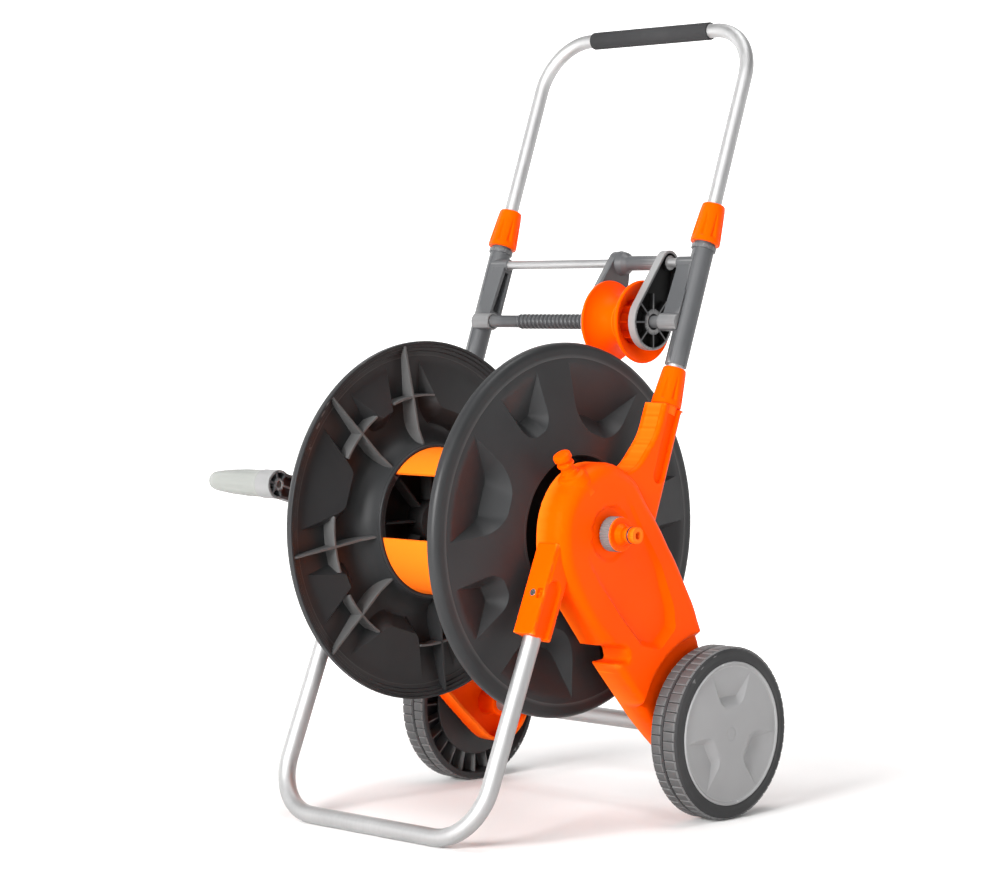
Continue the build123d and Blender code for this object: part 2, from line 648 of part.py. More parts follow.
with BuildPart() as right_side_panel:
    add(panel.part)
    # dish and bore for the tap inlet
    with BuildSketch(across(PANEL_OUT)):
        Circle(DISH_R)
    extrude(amount=-DISH_DEPTH, taper=10, mode=Mode.SUBTRACT)
    # parking spigot for the loose end of a hose
    spigot_dir = Vector(0, math.cos(math.radians(SPIGOT_ANGLE)), math.sin(math.radians(SPIGOT_ANGLE)))
    spigot_plane = Plane(origin=DRUM + Vector(SPIGOT_X, 0, 0), x_dir=(1, 0, 0), z_dir=spigot_dir)
    with BuildSketch(spigot_plane.offset(62)):
        Circle(SPIGOT_BASE_R)
    extrude(amount=20, taper=16)
    with BuildSketch(spigot_plane.offset(70)):
        Circle(SPIGOT_NECK_R)
    extrude(amount=SPIGOT_TIP - 71)
    with BuildSketch(spigot_plane.offset(SPIGOT_TIP - SPIGOT_HEAD)):
        Circle(STUB_R)
    extrude(amount=SPIGOT_HEAD)
    fillet(right_side_panel.faces().sort_by(Axis(DRUM, spigot_dir))[-1].edges(), 1.2)
    with BuildSketch(across(PANEL_IN - 1)):
        Circle(SPINDLE_R + 0.02)
    extrude(amount=PANEL_OUT, mode=Mode.SUBTRACT)
finish(right_side_panel.part, "right_side_panel")

with BuildPart() as left_side_panel:
    mirror(panel.part, about=MIDDLE)
    with BuildSketch(across(1 - PANEL_IN)):
        Circle(SPINDLE_R + FIT)
    extrude(amount=-PANEL_OUT, mode=Mode.SUBTRACT)
finish(left_side_panel.part, "left_side_panel")

# ---- front leg ---------------------------------------------------------------------------------------
with BuildPart() as front_leg:
    with BuildLine(LEG_FACE) as leg_path:
        FilletPolyline(
            (-LEG_X, LEG_TUCK), (-LEG_X, -LEG_SPAN), (LEG_X, -LEG_SPAN), (LEG_X, LEG_TUCK), radius=BEND_R
        )
    with BuildSketch(Plane(origin=leg_path.line @ 0, z_dir=leg_path.line % 0)):
        Circle(TUBE_R)
        Circle(TUBE_R - TUBE_WALL, mode=Mode.SUBTRACT)
    sweep()
    for side in (1, -1):
        hole_start = LEG_SCREW_PLANE.origin - Vector((1 - side) * LEG_X, 0, 0)
        with BuildSketch(LEG_SCREW_PLANE.shift_origin(hole_start)):
            Circle(PILOT_R)
        extrude(amount=SOCKET_W, mode=Mode.SUBTRACT)
finish(front_leg.part, "front_leg")

with BuildPart() as leg_screws:
    for side in (1, -1):
        right_seat = LEG_SCREW_PLANE.origin + LEG_SCREW_PLANE.z_dir * (SOCKET_W / 2)
        head_plane = Plane(
            origin=right_seat - Vector((1 - side) * LEG_X, 0, 0), x_dir=(1, 0, 0), z_dir=LEG_SCREW_PLANE.z_dir
        )
        with BuildSketch(head_plane):
            Circle(SCREW_HEAD_R)
        extrude(amount=SCREW_HEAD_H)
        with BuildSketch(head_plane):
            Circle(SHANK_R)
        extrude(amount=-LEG_SCREW_L)
finish(leg_screws.part, "leg_screws")

# ---- tap inlet: fixed water spindle, clamp ring, connector and seals -----------------------------------
O_RINGS_X = (75.0, 81.0)
O_RING_T = 1.3
THREAD_R = 14.0
STUB_GROOVE = (204.0, 206.6)
STUB_NECK_R = 6.6
SPINDLE_BORE_R = 6.0
INLET_RING_R = 18.5
KNURLS, KNURL_R = 36, 1.0

with BuildPart() as water_spindle:
    with BuildSketch(turning(DRUM)):
        with BuildLine():
            Polyline(
                (SPINDLE_END, SPINDLE_BORE_R), (SPINDLE_END, SPINDLE_R), (PANEL_OUT - DISH_DEPTH, SPINDLE_R),
                (PANEL_OUT - DISH_DEPTH, THREAD_R), (INLET_RING_X[1] - 2, THREAD_R),
                (INLET_RING_X[1] - 2, SPINDLE_BORE_R), close=True,
            )
        make_face()
        for groove_x in O_RINGS_X:
            with Locations((groove_x, SPINDLE_R)):
                Rectangle(2 * O_RING_T + 0.2, 5.2, mode=Mode.SUBTRACT)
    revolve(axis=DRUM_AXIS)
finish(water_spindle.part, "water_spindle")

with BuildPart() as spindle_o_rings:
    with BuildSketch(turning(DRUM)):
        with Locations(*[(groove_x, SPINDLE_R + 0.03 - O_RING_T) for groove_x in O_RINGS_X]):
            Circle(O_RING_T)
    revolve(axis=DRUM_AXIS)
finish(spindle_o_rings.part, "spindle_o_rings")

with BuildPart() as inlet_ring:
    with BuildSketch(across(INLET_RING_X[0])):
        Circle(INLET_RING_R)
        Circle(THREAD_R, mode=Mode.SUBTRACT)
        with PolarLocations(INLET_RING_R + 0.4, KNURLS):
            Circle(KNURL_R, mode=Mode.SUBTRACT)
    extrude(amount=INLET_RING_X[1] - INLET_RING_X[0])
finish(inlet_ring.part, "inlet_ring")

RING_TOP = INLET_RING_X[1]
with BuildPart() as inlet_connector:
    with BuildSketch(turning(DRUM)):
        with BuildLine():
            Polyline(
                (RING_TOP - 2, STUB_BORE), (RING_TOP - 2, THREAD_R - 0.5), (RING_TOP, THREAD_R - 0.5),
                (RING_TOP, 18), (RING_TOP + 2.2, 18), (RING_TOP + 2.2, 12), (196.5, 8.9), (197.5, 7.0),
                (201.0, 7.0), (202.0, STUB_R),
                (STUB_GROOVE[0], STUB_R), (STUB_GROOVE[0], STUB_NECK_R), (STUB_GROOVE[1], STUB_NECK_R),
                (STUB_GROOVE[1], STUB_R),
                (INLET_TIP - 0.5, STUB_R), (INLET_TIP, STUB_R - 0.5), (INLET_TIP, STUB_BORE), close=True,
            )
        make_face()
    revolve(axis=DRUM_AXIS)
finish(inlet_connector.part, "inlet_connector")

with BuildPart() as inlet_o_ring:
    with BuildSketch(turning(DRUM)):
        with Locations((sum(STUB_GROOVE) / 2, STUB_NECK_R + O_RING_T - 0.05)):
            Circle(O_RING_T - 0.05)
    revolve(axis=DRUM_AXIS)
finish(inlet_o_ring.part, "inlet_o_ring")

# ---- mast: two tubes, grey sleeves with lugs, guide rod and ridged guide shaft --------------------------
SLEEVE_R = 12.0
SLEEVE_LIP_R = 13.6
TOP_NECK_R = 11.0
LUG_R, ROD_LUG_R = 10.0, 6.8
STRIP_X = (133.0, 137.0)
RIDGE_PITCH, RIDGE_H = 6.3, 1.5
RIDGES = (-87.0, 96.0)
LUG_BORE = 12.0


def mirrored_pair(right, name):
    """Write the right piece and its mirror image on the left as two nodes."""
    finish(right, name + "_right")
    with BuildPart() as left:
        mirror(right, about=MIDDLE)
    finish(left.part, name + "_left")


with BuildPart() as mast_tube:
    with BuildSketch(mast_cross(MAST_FOOT)):
        Circle(TUBE_R)
        Circle(TUBE_R - TUBE_WALL, mode=Mode.SUBTRACT)
    extrude(amount=NECK_TOP - 1 - MAST_FOOT)
mirrored_pair(mast_tube.part, "mast_tube")

with BuildPart() as sleeve:
    with BuildSketch(mast_cross(SLEEVE[0])):
        Circle(SLEEVE_R)
    extrude(amount=SLEEVE[1] - SLEEVE[0])
    with BuildSketch(mast_cross(SLEEVE[1] - 4.5)):
        Circle(SLEEVE_LIP_R)
    extrude(amount=4.5)
    with BuildSketch(mast_cross(SLEEVE[1])):
        Circle(TOP_NECK_R)
    extrude(amount=NECK_TOP - SLEEVE[1])
    with BuildSketch(turning(SCREW)):
        with BuildLine():
            Polyline(
                (LUG_X, 0), (LUG_X, LUG_R - 1), (LUG_X + 1, LUG_R), (TUBE_X, LUG_R), (TUBE_X, 0), close=True
            )
        make_face()
    revolve(axis=SCREW_AXIS)
    with BuildSketch(turning(ROD)):
        with BuildLine():
            Polyline(
                (LUG_X, 0), (LUG_X, ROD_LUG_R - 1), (LUG_X + 1, ROD_LUG_R), (TUBE_X, ROD_LUG_R), (TUBE_X, 0),
                close=True,
            )
        make_face()
    revolve(axis=ROD_AXIS)
    with BuildSketch(across(STRIP_X[0])):
        with BuildLine():
            Polyline(
                on_mast(SCREW_S, SCREW_N - 6), on_mast(ROD_S, ROD_N - 5), on_mast(ROD_S, 4),
                on_mast(SCREW_S, 4), close=True,
            )
        make_face()
    extrude(amount=TUBE_X - STRIP_X[0])
    with BuildSketch(across(STRIP_X[0])):
        with BuildLine():
            Polyline(
                on_mast(SCREW_S + 12, SCREW_N - 2), on_mast(ROD_S - 9, ROD_N - 1), on_mast(ROD_S - 9, 0),
                on_mast(SCREW_S + 12, 0), close=True,
            )
        make_face()
    extrude(amount=8, mode=Mode.SUBTRACT)
    with BuildSketch(mast_cross(SLEEVE[0] - 1)):
        Circle(TUBE_R + 0.02)
    extrude(amount=NECK_TOP, mode=Mode.SUBTRACT)
    with BuildSketch(Plane(origin=SCREW + Vector(LUG_X - 1, 0, 0), x_dir=(0, 1, 0), z_dir=(1, 0, 0))):
        Circle(SCREW_R + 0.02)
    extrude(amount=LUG_BORE + 1, mode=Mode.SUBTRACT)
    with BuildSketch(Plane(origin=ROD + Vector(LUG_X - 1, 0, 0), x_dir=(0, 1, 0), z_dir=(1, 0, 0))):
        Circle(ROD_R + 0.02)
    extrude(amount=LUG_BORE + 1, mode=Mode.SUBTRACT)
    # shallow groove down the front of the sleeve
    with Locations(MAST_FACE.offset(SLEEVE_R) * Location((TUBE_X, (SLEEVE[0] + SLEEVE[1]) / 2 - 2, 0))):
        Box(3.0, SLEEVE[1] - SLEEVE[0] - 20, 1.2, mode=Mode.SUBTRACT)
mirrored_pair(sleeve.part, "mast_sleeve")

with BuildPart() as guide_rod:
    with BuildSketch(turning(ROD)):
        with BuildLine():
            Polyline(
                (-LUG_X - LUG_BORE, 0), (-LUG_X - LUG_BORE, ROD_R), (LUG_X + LUG_BORE, ROD_R),
                (LUG_X + LUG_BORE, 0), close=True,
            )
        make_face()
    revolve(axis=ROD_AXIS)
finish(guide_rod.part, "guide_rod")

with BuildPart() as guide_shaft:
    with BuildSketch(turning(SCREW)):
        with BuildLine():
            shaft_line = [(-LUG_X - LUG_BORE, 0), (-LUG_X - LUG_BORE, SCREW_R)]
            for i in range(int((RIDGES[1] - RIDGES[0]) / RIDGE_PITCH)):
                start = RIDGES[0] + i * RIDGE_PITCH
                shaft_line += [(start, SCREW_R), (start + 1, SCREW_R + RIDGE_H)]
                shaft_line += [(start + 3, SCREW_R + RIDGE_H), (start + 4, SCREW_R)]
            shaft_line += [(LUG_X + LUG_BORE, SCREW_R), (LUG_X + LUG_BORE, 0)]
            Polyline(*shaft_line, close=True)
        make_face()
    revolve(axis=SCREW_AXIS)
finish(guide_shaft.part, "guide_shaft")

# ---- sliding hose guide: two plates, sleeve on the rod and spool roller ----------------------------------
GUIDE_BORE = SCREW_R + RIDGE_H + GAP
BUSH_R = 11.2
PLATE_LOW_R, PLATE_TOP_R = 31.0, 13.5
PLATE_WALL = 3.0
ROD_SLEEVE_R = 8.25
SCREW_UV = on_mast(SCREW_S, SCREW_N)
ROD_UV = on_mast(ROD_S, ROD_N)


def guide_plate(start, thick, open_side):
    """Teardrop plate round both guide shafts, hollow on the side that open_side names."""
    with BuildSketch() as outline:
        with Locations(SCREW_UV):
            Circle(PLATE_LOW_R)
        with Locations(ROD_UV):
            Circle(PLATE_TOP_R)
        make_hull()
    with BuildPart() as plate:
        with BuildSketch(across(start)):
            add(outline.sketch)
        extrude(amount=thick)
        hollow_from = start + thick if open_side > 0 else start
        with BuildSketch(across(hollow_from)):
            offset(outline.sketch, amount=-PLATE_WALL)
            with Locations(SCREW_UV):
                Circle(BUSH_R + 3, mode=Mode.SUBTRACT)
                with PolarLocations(PLATE_LOW_R / 2, 8):
                    Rectangle(PLATE_LOW_R, 2, mode=Mode.SUBTRACT)
            with Locations(ROD_UV):
                Circle(ROD_SLEEVE_R, mode=Mode.SUBTRACT)
        extrude(amount=-open_side * (thick - PLATE_WALL), mode=Mode.SUBTRACT)
    return plate.part


with BuildPart() as guide_frame_left:
    add(guide_plate(PLATE_LEFT[0], PLATE_LEFT[1] - PLATE_LEFT[0], -1))
    with BuildSketch(turning(ROD)):
        with BuildLine():
            Polyline(
                (PLATE_LEFT[1] - 1, 0), (PLATE_LEFT[1] - 1, 14), (PLATE_LEFT[1] + 7, 12),
                (PLATE_LEFT[1] + 12, ROD_SLEEVE_R),
                (PLATE_RIGHT[0], ROD_SLEEVE_R), (PLATE_RIGHT[0], 0), close=True,
            )
        make_face()
    revolve(axis=ROD_AXIS)
    with BuildSketch(turning(SCREW)):
        with BuildLine():
            Polyline(
                (PLATE_LEFT[1] - 1, 0), (PLATE_LEFT[1] - 1, BUSH_R), (PLATE_RIGHT[0], BUSH_R),
                (PLATE_RIGHT[0], 0), close=True,
            )
        make_face()
    revolve(axis=SCREW_AXIS)
    with BuildSketch(across(PLATE_LEFT[0] - 1)):
        with Locations(SCREW_UV):
            Circle(GUIDE_BORE)
        with Locations(ROD_UV):
            Circle(ROD_R + FIT)
    extrude(amount=PLATE_RIGHT[0] - PLATE_LEFT[0] + 2, mode=Mode.SUBTRACT)
finish(guide_frame_left.part, "guide_frame_left")

with BuildPart() as guide_frame_right:
    add(guide_plate(PLATE_RIGHT[0], PLATE_RIGHT[1] - PLATE_RIGHT[0], 1))
    with BuildSketch(across(PLATE_RIGHT[0] - 1)):
        with Locations(SCREW_UV):
            Circle(GUIDE_BORE)
        with Locations(ROD_UV):
            Circle(ROD_R + FIT)
    extrude(amount=PLATE_RIGHT[1] - PLATE_RIGHT[0] + 2, mode=Mode.SUBTRACT)
finish(guide_frame_right.part, "guide_frame_right")

ROLLER_MID = sum(ROLLER_X) / 2
with BuildPart() as roller_half_right:
    with BuildSketch(turning(SCREW)):
        with BuildLine():
            waist = (ROLLER_MID, ROLLER_WAIST)
            groove = ThreePointArc(waist, (ROLLER_MID + 15, ROLLER_WAIST + 5.4), (ROLLER_X[1] - 4, ROLLER_R - 2))
            edge = RadiusArc(groove @ 1, (ROLLER_X[1], ROLLER_R - 3), 2.6)
            Polyline(
                edge @ 1, (ROLLER_X[1] - 2, ROLLER_R - 6), (ROLLER_MID + 14, ROLLER_WAIST + 1.6),
                (ROLLER_MID + 3, ROLLER_WAIST - 3), (ROLLER_MID + 3, BUSH_R + 3), (ROLLER_X[1], BUSH_R + 3),
                (ROLLER_X[1], BUSH_R + FIT), (ROLLER_MID, BUSH_R + FIT), waist,
            )
        make_face()
    revolve(axis=SCREW_AXIS)
    with BuildSketch(across(ROLLER_MID + 3)):
        with Locations(SCREW_UV):
            with PolarLocations((ROLLER_WAIST + BUSH_R) / 2 + 1, 8):
                Rectangle(ROLLER_WAIST - BUSH_R - 2, 2)
    extrude(amount=ROLLER_X[1] - ROLLER_MID - 8)
finish(roller_half_right.part, "roller_half_right")

with BuildPart() as roller_half_left:
    mirror(roller_half_right.part, about=Plane.YZ.offset(MID_X + ROLLER_MID))
finish(roller_half_left.part, "roller_half_left")

# ---- handle ------------------------------------------------------------------------------------------------
with BuildPart() as handle_tube:
    with BuildLine(MAST_FACE) as handle_path:
        FilletPolyline(
            (-TUBE_X, HANDLE_FOOT), (-TUBE_X, HANDLE_TOP), (TUBE_X, HANDLE_TOP), (TUBE_X, HANDLE_FOOT),
            radius=BEND_R,
        )
    with BuildSketch(Plane(origin=handle_path.line @ 0, z_dir=handle_path.line % 0)):
        Circle(HANDLE_R)
        Circle(HANDLE_R - HANDLE_WALL, mode=Mode.SUBTRACT)
    sweep()
finish(handle_tube.part, "handle_tube")

with BuildPart() as handle_grip:
    grip_end = MAST_BASE + MAST_DIR * HANDLE_TOP - Vector(GRIP_HALF, 0, 0)
    with BuildSketch(Plane(origin=grip_end, x_dir=(0, 1, 0), z_dir=(1, 0, 0))):
        Circle(GRIP_R)
        Circle(HANDLE_R, mode=Mode.SUBTRACT)
    extrude(amount=2 * GRIP_HALF)
    rims = handle_grip.edges().filter_by(GeomType.CIRCLE).filter_by(lambda edge: edge.radius > HANDLE_R + 1)
    fillet(rims, 1.2)
finish(handle_grip.part, "handle_grip")

# ---- twist collars and the split collets that they squeeze ---------------------------------------------------
COLLAR_WIDE, COLLAR_SLIM = 16.5, 12.6
FLUTES = 12
COLLET_L = 9.0


def collar(span, neck_r, neck_top, bore_r):
    """Tapered, fluted clamp collar over a neck, closing onto a tube of radius bore_r."""
    bottom, top = span
    with BuildPart() as ring:
        with BuildSketch(mast_cross(bottom)):
            Circle(COLLAR_WIDE)
        with BuildSketch(mast_cross(top - 8)):
            Circle(COLLAR_SLIM + 1)
        loft()
        with BuildSketch(mast_cross(top - 8)):
            Circle(COLLAR_SLIM + 1)
        with BuildSketch(mast_cross(top)):
            Circle(COLLAR_SLIM)
        loft()
        for i in range(FLUTES):
            turn = 2 * math.pi * i / FLUTES
            with BuildSketch(mast_cross(bottom + 7)):
                with Locations((COLLAR_WIDE * math.cos(turn), COLLAR_WIDE * math.sin(turn))):
                    Circle(1.3)
            with BuildSketch(mast_cross(top - 9)):
                with Locations(((COLLAR_SLIM + 1.4) * math.cos(turn), (COLLAR_SLIM + 1.4) * math.sin(turn))):
                    Circle(0.6)
            loft(mode=Mode.SUBTRACT)
        with BuildSketch(mast_cross(bottom - 1)):
            Circle(neck_r + GAP)
        extrude(amount=neck_top + COLLET_L + 1.5 - bottom, mode=Mode.SUBTRACT)
        with BuildSketch(mast_cross(bottom - 1)):
            Circle(bore_r + GAP)
        extrude(amount=top - bottom + 2, mode=Mode.SUBTRACT)
    return ring.part


def collet(start, tube_r, neck_r):
    """Split ring on the end of a neck, squeezed onto the inner tube."""
    with BuildPart() as ring:
        with BuildSketch(mast_cross(start)):
            Circle(neck_r - 0.3)
            Circle(tube_r, mode=Mode.SUBTRACT)
            Rectangle(1.2, 2 * neck_r, mode=Mode.SUBTRACT)
        extrude(amount=COLLET_L)
    return ring.part


mirrored_pair(collar(LOW_COLLAR, NECK_R, LOW_NECK, TUBE_R), "lower_collar")
mirrored_pair(collar(TOP_COLLAR, TOP_NECK_R, NECK_TOP, HANDLE_R), "upper_collar")

with BuildPart() as lower_collets:
    add(collet(LOW_NECK + 0.1, TUBE_R + FIT, NECK_R))
    mirror(about=MIDDLE)
finish(lower_collets.part, "lower_collets")

with BuildPart() as upper_collets:
    add(collet(NECK_TOP + 0.1, HANDLE_R + FIT, TOP_NECK_R))
    mirror(about=MIDDLE)
finish(upper_collets.part, "upper_collets")
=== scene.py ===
import json
import math

import bmesh
import bpy
import numpy as np
from mathutils import Matrix, Vector
from mathutils.geometry import delaunay_2d_cdt


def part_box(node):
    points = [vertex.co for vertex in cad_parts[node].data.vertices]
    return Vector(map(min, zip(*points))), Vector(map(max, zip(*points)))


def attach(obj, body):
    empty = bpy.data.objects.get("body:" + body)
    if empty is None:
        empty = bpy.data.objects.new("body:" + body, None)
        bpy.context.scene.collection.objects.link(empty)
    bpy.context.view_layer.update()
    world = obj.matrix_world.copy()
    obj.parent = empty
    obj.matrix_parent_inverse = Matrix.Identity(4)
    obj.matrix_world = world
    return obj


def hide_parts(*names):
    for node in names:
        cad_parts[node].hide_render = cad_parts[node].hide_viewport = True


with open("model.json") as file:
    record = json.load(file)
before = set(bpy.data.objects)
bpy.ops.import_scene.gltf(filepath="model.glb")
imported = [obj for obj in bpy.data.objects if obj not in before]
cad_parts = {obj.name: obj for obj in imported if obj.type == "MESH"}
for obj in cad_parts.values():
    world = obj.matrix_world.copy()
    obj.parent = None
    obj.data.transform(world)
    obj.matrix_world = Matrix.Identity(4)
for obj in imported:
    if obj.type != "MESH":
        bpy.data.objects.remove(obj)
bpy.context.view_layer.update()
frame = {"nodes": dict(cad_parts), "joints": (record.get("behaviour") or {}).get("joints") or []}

NODES = frame["nodes"]
JOINTS = {joint["name"]: joint for joint in frame["joints"]}
MM = 0.001

# ---- places read from the frame -------------------------------------------------------------
DRUM = Vector(JOINTS["drum_spin"]["pos_m"])
AXLE = Vector(JOINTS["wheel_right_spin"]["pos_m"])
CRANK = Vector(JOINTS["crank_grip_spin"]["pos_m"])
SHAFT = Vector(JOINTS["guide_roller_spin"]["pos_m"])
MAST_DIR = Vector(JOINTS["mast_slide"]["axis"])
TUBE_X = 155.5            # both tube frames, in millimetres from the middle plane


def local(point):
    """A point of the frame as (x, y, z) in millimetres from the middle of the drum."""
    return (Vector(point) - DRUM) / MM


def node_box(node):
    """Lowest and highest corner of a CAD node, in millimetres from the middle of the drum."""
    low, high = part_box(node)
    return local(low), local(high)


# ---- materials --------------------------------------------------------------------------------
def new_material(name):
    material = bpy.data.materials.new(name)
    material.use_nodes = True
    tree = material.node_tree
    return material, tree, tree.nodes["Principled BSDF"]


def noise(tree, scale, detail=3.0, roughness=0.55):
    """Noise in object space, so that it stays on the piece as it moves."""
    where = tree.nodes.new("ShaderNodeTexCoord")
    node = tree.nodes.new("ShaderNodeTexNoise")
    node.inputs["Scale"].default_value = scale
    node.inputs["Detail"].default_value = detail
    node.inputs["Roughness"].default_value = roughness
    tree.links.new(where.outputs["Object"], node.inputs["Vector"])
    return node.outputs["Fac"]


def ramp(tree, value, low, high, out_low, out_high):
    """The value, from low to high, spread over out_low to out_high."""
    node = tree.nodes.new("ShaderNodeMapRange")
    node.inputs["From Min"].default_value = low
    node.inputs["From Max"].default_value = high
    node.inputs["To Min"].default_value = out_low
    node.inputs["To Max"].default_value = out_high
    tree.links.new(value, node.inputs["Value"])
    return node.outputs["Result"]


def mixed(tree, factor, colour_a, colour_b):
    node = tree.nodes.new("ShaderNodeMix")
    node.data_type = "RGBA"
    tree.links.new(factor, node.inputs[0])
    for socket, colour in ((node.inputs[6], colour_a), (node.inputs[7], colour_b)):
        if isinstance(colour, tuple):
            socket.default_value = (*colour, 1.0)
        else:
            tree.links.new(colour, socket)
    return node.outputs[2]


def edge_wear(tree, sharp=0.56, soft=0.62):
    """Worn, slightly paler edges: how far the surface turns outwards here."""
    shape = tree.nodes.new("ShaderNodeNewGeometry")
    return ramp(tree, shape.outputs["Pointiness"], sharp, soft, 0.0, 1.0)


def bumpy(tree, shader, height, strength, distance, edge_radius=0.0):
    bump = tree.nodes.new("ShaderNodeBump")
    bump.inputs["Strength"].default_value = strength
    bump.inputs["Distance"].default_value = distance
    tree.links.new(height, bump.inputs["Height"])
    if edge_radius:
        bevel = tree.nodes.new("ShaderNodeBevel")
        bevel.samples = 4
        bevel.inputs["Radius"].default_value = edge_radius
        tree.links.new(bevel.outputs["Normal"], bump.inputs["Normal"])
    tree.links.new(bump.outputs["Normal"], shader.inputs["Normal"])


def plastic(
    name, colour, shade, worn, rough, grain=900.0, grain_strength=0.12, edge_radius=0.0006,
    specular=0.4, sheen_colour=(1.0, 1.0, 1.0),
):
    """Moulded plastic: cloudy colour, fine moulded grain, uneven gloss and paler worn edges."""
    material, tree, shader = new_material(name)
    cloud = noise(tree, 9.0, 4.0)
    base = mixed(tree, ramp(tree, cloud, 0.35, 0.7, 0.0, 1.0), colour, shade)
    base = mixed(tree, edge_wear(tree), base, worn)
    tree.links.new(base, shader.inputs["Base Color"])
    smear = noise(tree, 38.0, 5.0, 0.6)
    tree.links.new(ramp(tree, smear, 0.3, 0.75, rough - 0.05, rough + 0.08), shader.inputs["Roughness"])
    shader.inputs["Specular IOR Level"].default_value = specular
    shader.inputs["Specular Tint"].default_value = (*sheen_colour, 1.0)
    bumpy(tree, shader, noise(tree, grain, 2.0, 0.5), grain_strength, 0.0002, edge_radius)
    return material


def metal(name, colour, shade, rough, stretch, grain_strength=0.05):
    """Drawn or brushed metal: fine lines along the stretch axes, small changes of tone and gloss."""
    material, tree, shader = new_material(name)
    where = tree.nodes.new("ShaderNodeTexCoord")
    scale = tree.nodes.new("ShaderNodeMapping")
    scale.inputs["Scale"].default_value = stretch
    lines = tree.nodes.new("ShaderNodeTexNoise")
    lines.inputs["Scale"].default_value = 1.0
    lines.inputs["Detail"].default_value = 3.0
    tree.links.new(where.outputs["Object"], scale.inputs["Vector"])
    tree.links.new(scale.outputs["Vector"], lines.inputs["Vector"])
    cloud = noise(tree, 14.0, 4.0)
    base = mixed(tree, ramp(tree, cloud, 0.35, 0.7, 0.0, 1.0), colour, shade)
    tree.links.new(base, shader.inputs["Base Color"])
    shader.inputs["Metallic"].default_value = 1.0
    gloss = ramp(tree, lines.outputs["Fac"], 0.3, 0.7, rough - 0.05, rough + 0.07)
    tree.links.new(gloss, shader.inputs["Roughness"])
    bumpy(tree, shader, lines.outputs["Fac"], grain_strength, 0.0001, 0.0003)
    return material


ORANGE = plastic(
    "orange_plastic", (1.0, 0.077, 0.0), (0.96, 0.068, 0.0), (1.0, 0.17, 0.01), 0.42, 700.0, 0.05, 0.0007,
    0.07, (1.0, 0.4, 0.05),
)
BLACK = plastic(
    "black_plastic", (0.019, 0.0195, 0.0204), (0.0245, 0.025, 0.026), (0.09, 0.09, 0.09), 0.42, 1100.0, 0.2,
    0.0007, 0.2,
)
# painted shade: a near-black, darker than the black plastic, that stands in for the shade deep in hollows
PAINTED_SHADE_DARK = plastic(
    "painted_shade_plastic", (0.004, 0.004, 0.004), (0.006, 0.006, 0.006), (0.02, 0.02, 0.02), 0.5, specular=0.1
)
GREY = plastic(
    "grey_plastic", (0.055, 0.057, 0.06), (0.066, 0.068, 0.071), (0.2, 0.2, 0.2), 0.42, 900.0, 0.08
)
SHAFT_GREY = plastic(
    "shaft_plastic", (0.042, 0.044, 0.047), (0.052, 0.054, 0.057), (0.14, 0.14, 0.14), 0.42
)
HUBCAP = plastic(
    "hubcap_plastic", (0.28, 0.28, 0.283), (0.305, 0.305, 0.308), (0.42, 0.42, 0.42), 0.45, 1000.0, 0.06
)
WHEEL = plastic(
    "wheel_plastic", (0.025, 0.025, 0.026), (0.033, 0.033, 0.034), (0.15, 0.15, 0.15), 0.5, 800.0, 0.25,
    0.0005, 0.25,
)
GRIP = plastic(
    "grip_plastic", (0.21, 0.218, 0.203), (0.195, 0.203, 0.19), (0.3, 0.31, 0.29), 0.42, 600.0, 0.04
)
RUBBER = plastic("seal_rubber", (0.012, 0.012, 0.012), (0.02, 0.02, 0.02), (0.04, 0.04, 0.04), 0.35)
FOAM = plastic(
    "grip_foam", (0.02, 0.02, 0.021), (0.03, 0.03, 0.031), (0.05, 0.05, 0.05), 0.8, 1600.0, 0.5, specular=0.2
)
TUBE_TONES = ((0.44, 0.44, 0.44), (0.4, 0.4, 0.402), 0.55)
ALUMINIUM = metal("aluminium_tube", *TUBE_TONES, (260.0, 260.0, 12.0))
ALUMINIUM_X = metal("aluminium_cross_tube", *TUBE_TONES, (12.0, 260.0, 260.0))
STEEL = metal("zinc_steel", (0.62, 0.62, 0.60), (0.5, 0.5, 0.49), 0.3, (150.0, 150.0, 150.0))

NODE_MATERIALS = {
    ORANGE: (
        "right_side_panel", "left_side_panel", "upper_barrel_shell", "lower_barrel_shell",
        "inlet_connector", "roller_half_right", "roller_half_left", "lower_collar_right", "lower_collar_left",
        "upper_collar_right", "upper_collar_left",
    ),
    BLACK: ("right_flange", "left_flange"),
    # painted shade: these inner parts get the near-black painted-shade material
    PAINTED_SHADE_DARK: ("hose_outlet", "crank_shaft", "water_spindle"),
    GREY: (
        "mast_sleeve_right", "mast_sleeve_left", "guide_frame_left", "guide_frame_right", "crank_arm",
        "lower_collets", "upper_collets",
    ),
    SHAFT_GREY: ("guide_shaft", "inlet_ring"),
    HUBCAP: ("hubcap_right", "hubcap_left"),
    WHEEL: ("wheel_right", "wheel_left"),
    GRIP: ("crank_grip",),
    RUBBER: ("spindle_o_rings", "inlet_o_ring"),
    FOAM: ("handle_grip",),
    ALUMINIUM: ("front_leg", "mast_tube_right", "mast_tube_left", "handle_tube"),
    ALUMINIUM_X: ("axle_tube", "guide_rod"),
    STEEL: ("wheel_axle", "axle_push_nuts", "leg_screws", "drum_screws", "crank_screw", "crank_pin"),
}
for material, names in NODE_MATERIALS.items():
    for node_name in names:
        node = NODES[node_name]
        node.data.materials.clear()
        node.data.materials.append(material)
        node.data.shade_smooth()
        node.data.set_sharp_from_angle(angle=math.radians(32))


def line_of(node):
    """Where a CAD node's middle lies in the cross plane."""
    low, high = node_box(node)
    middle = (low + high) / 2
    return Vector((middle.y, middle.z))


def paint_hollow_shade(node, inside_gap, low, high):
    """Painted shade: a second, near-black material on the faces that lie inside a plate's rim, where shade
    falls.
    """
    mesh = NODES[node].data
    mesh.materials.append(PAINTED_SHADE_DARK)
    shift = NODES[node].matrix_world
    for face in mesh.polygons:
        x, y, z = local(shift @ face.center)
        if low < x < high and inside_gap(Vector((y, z))) > 2.6:
            face.material_index = 1


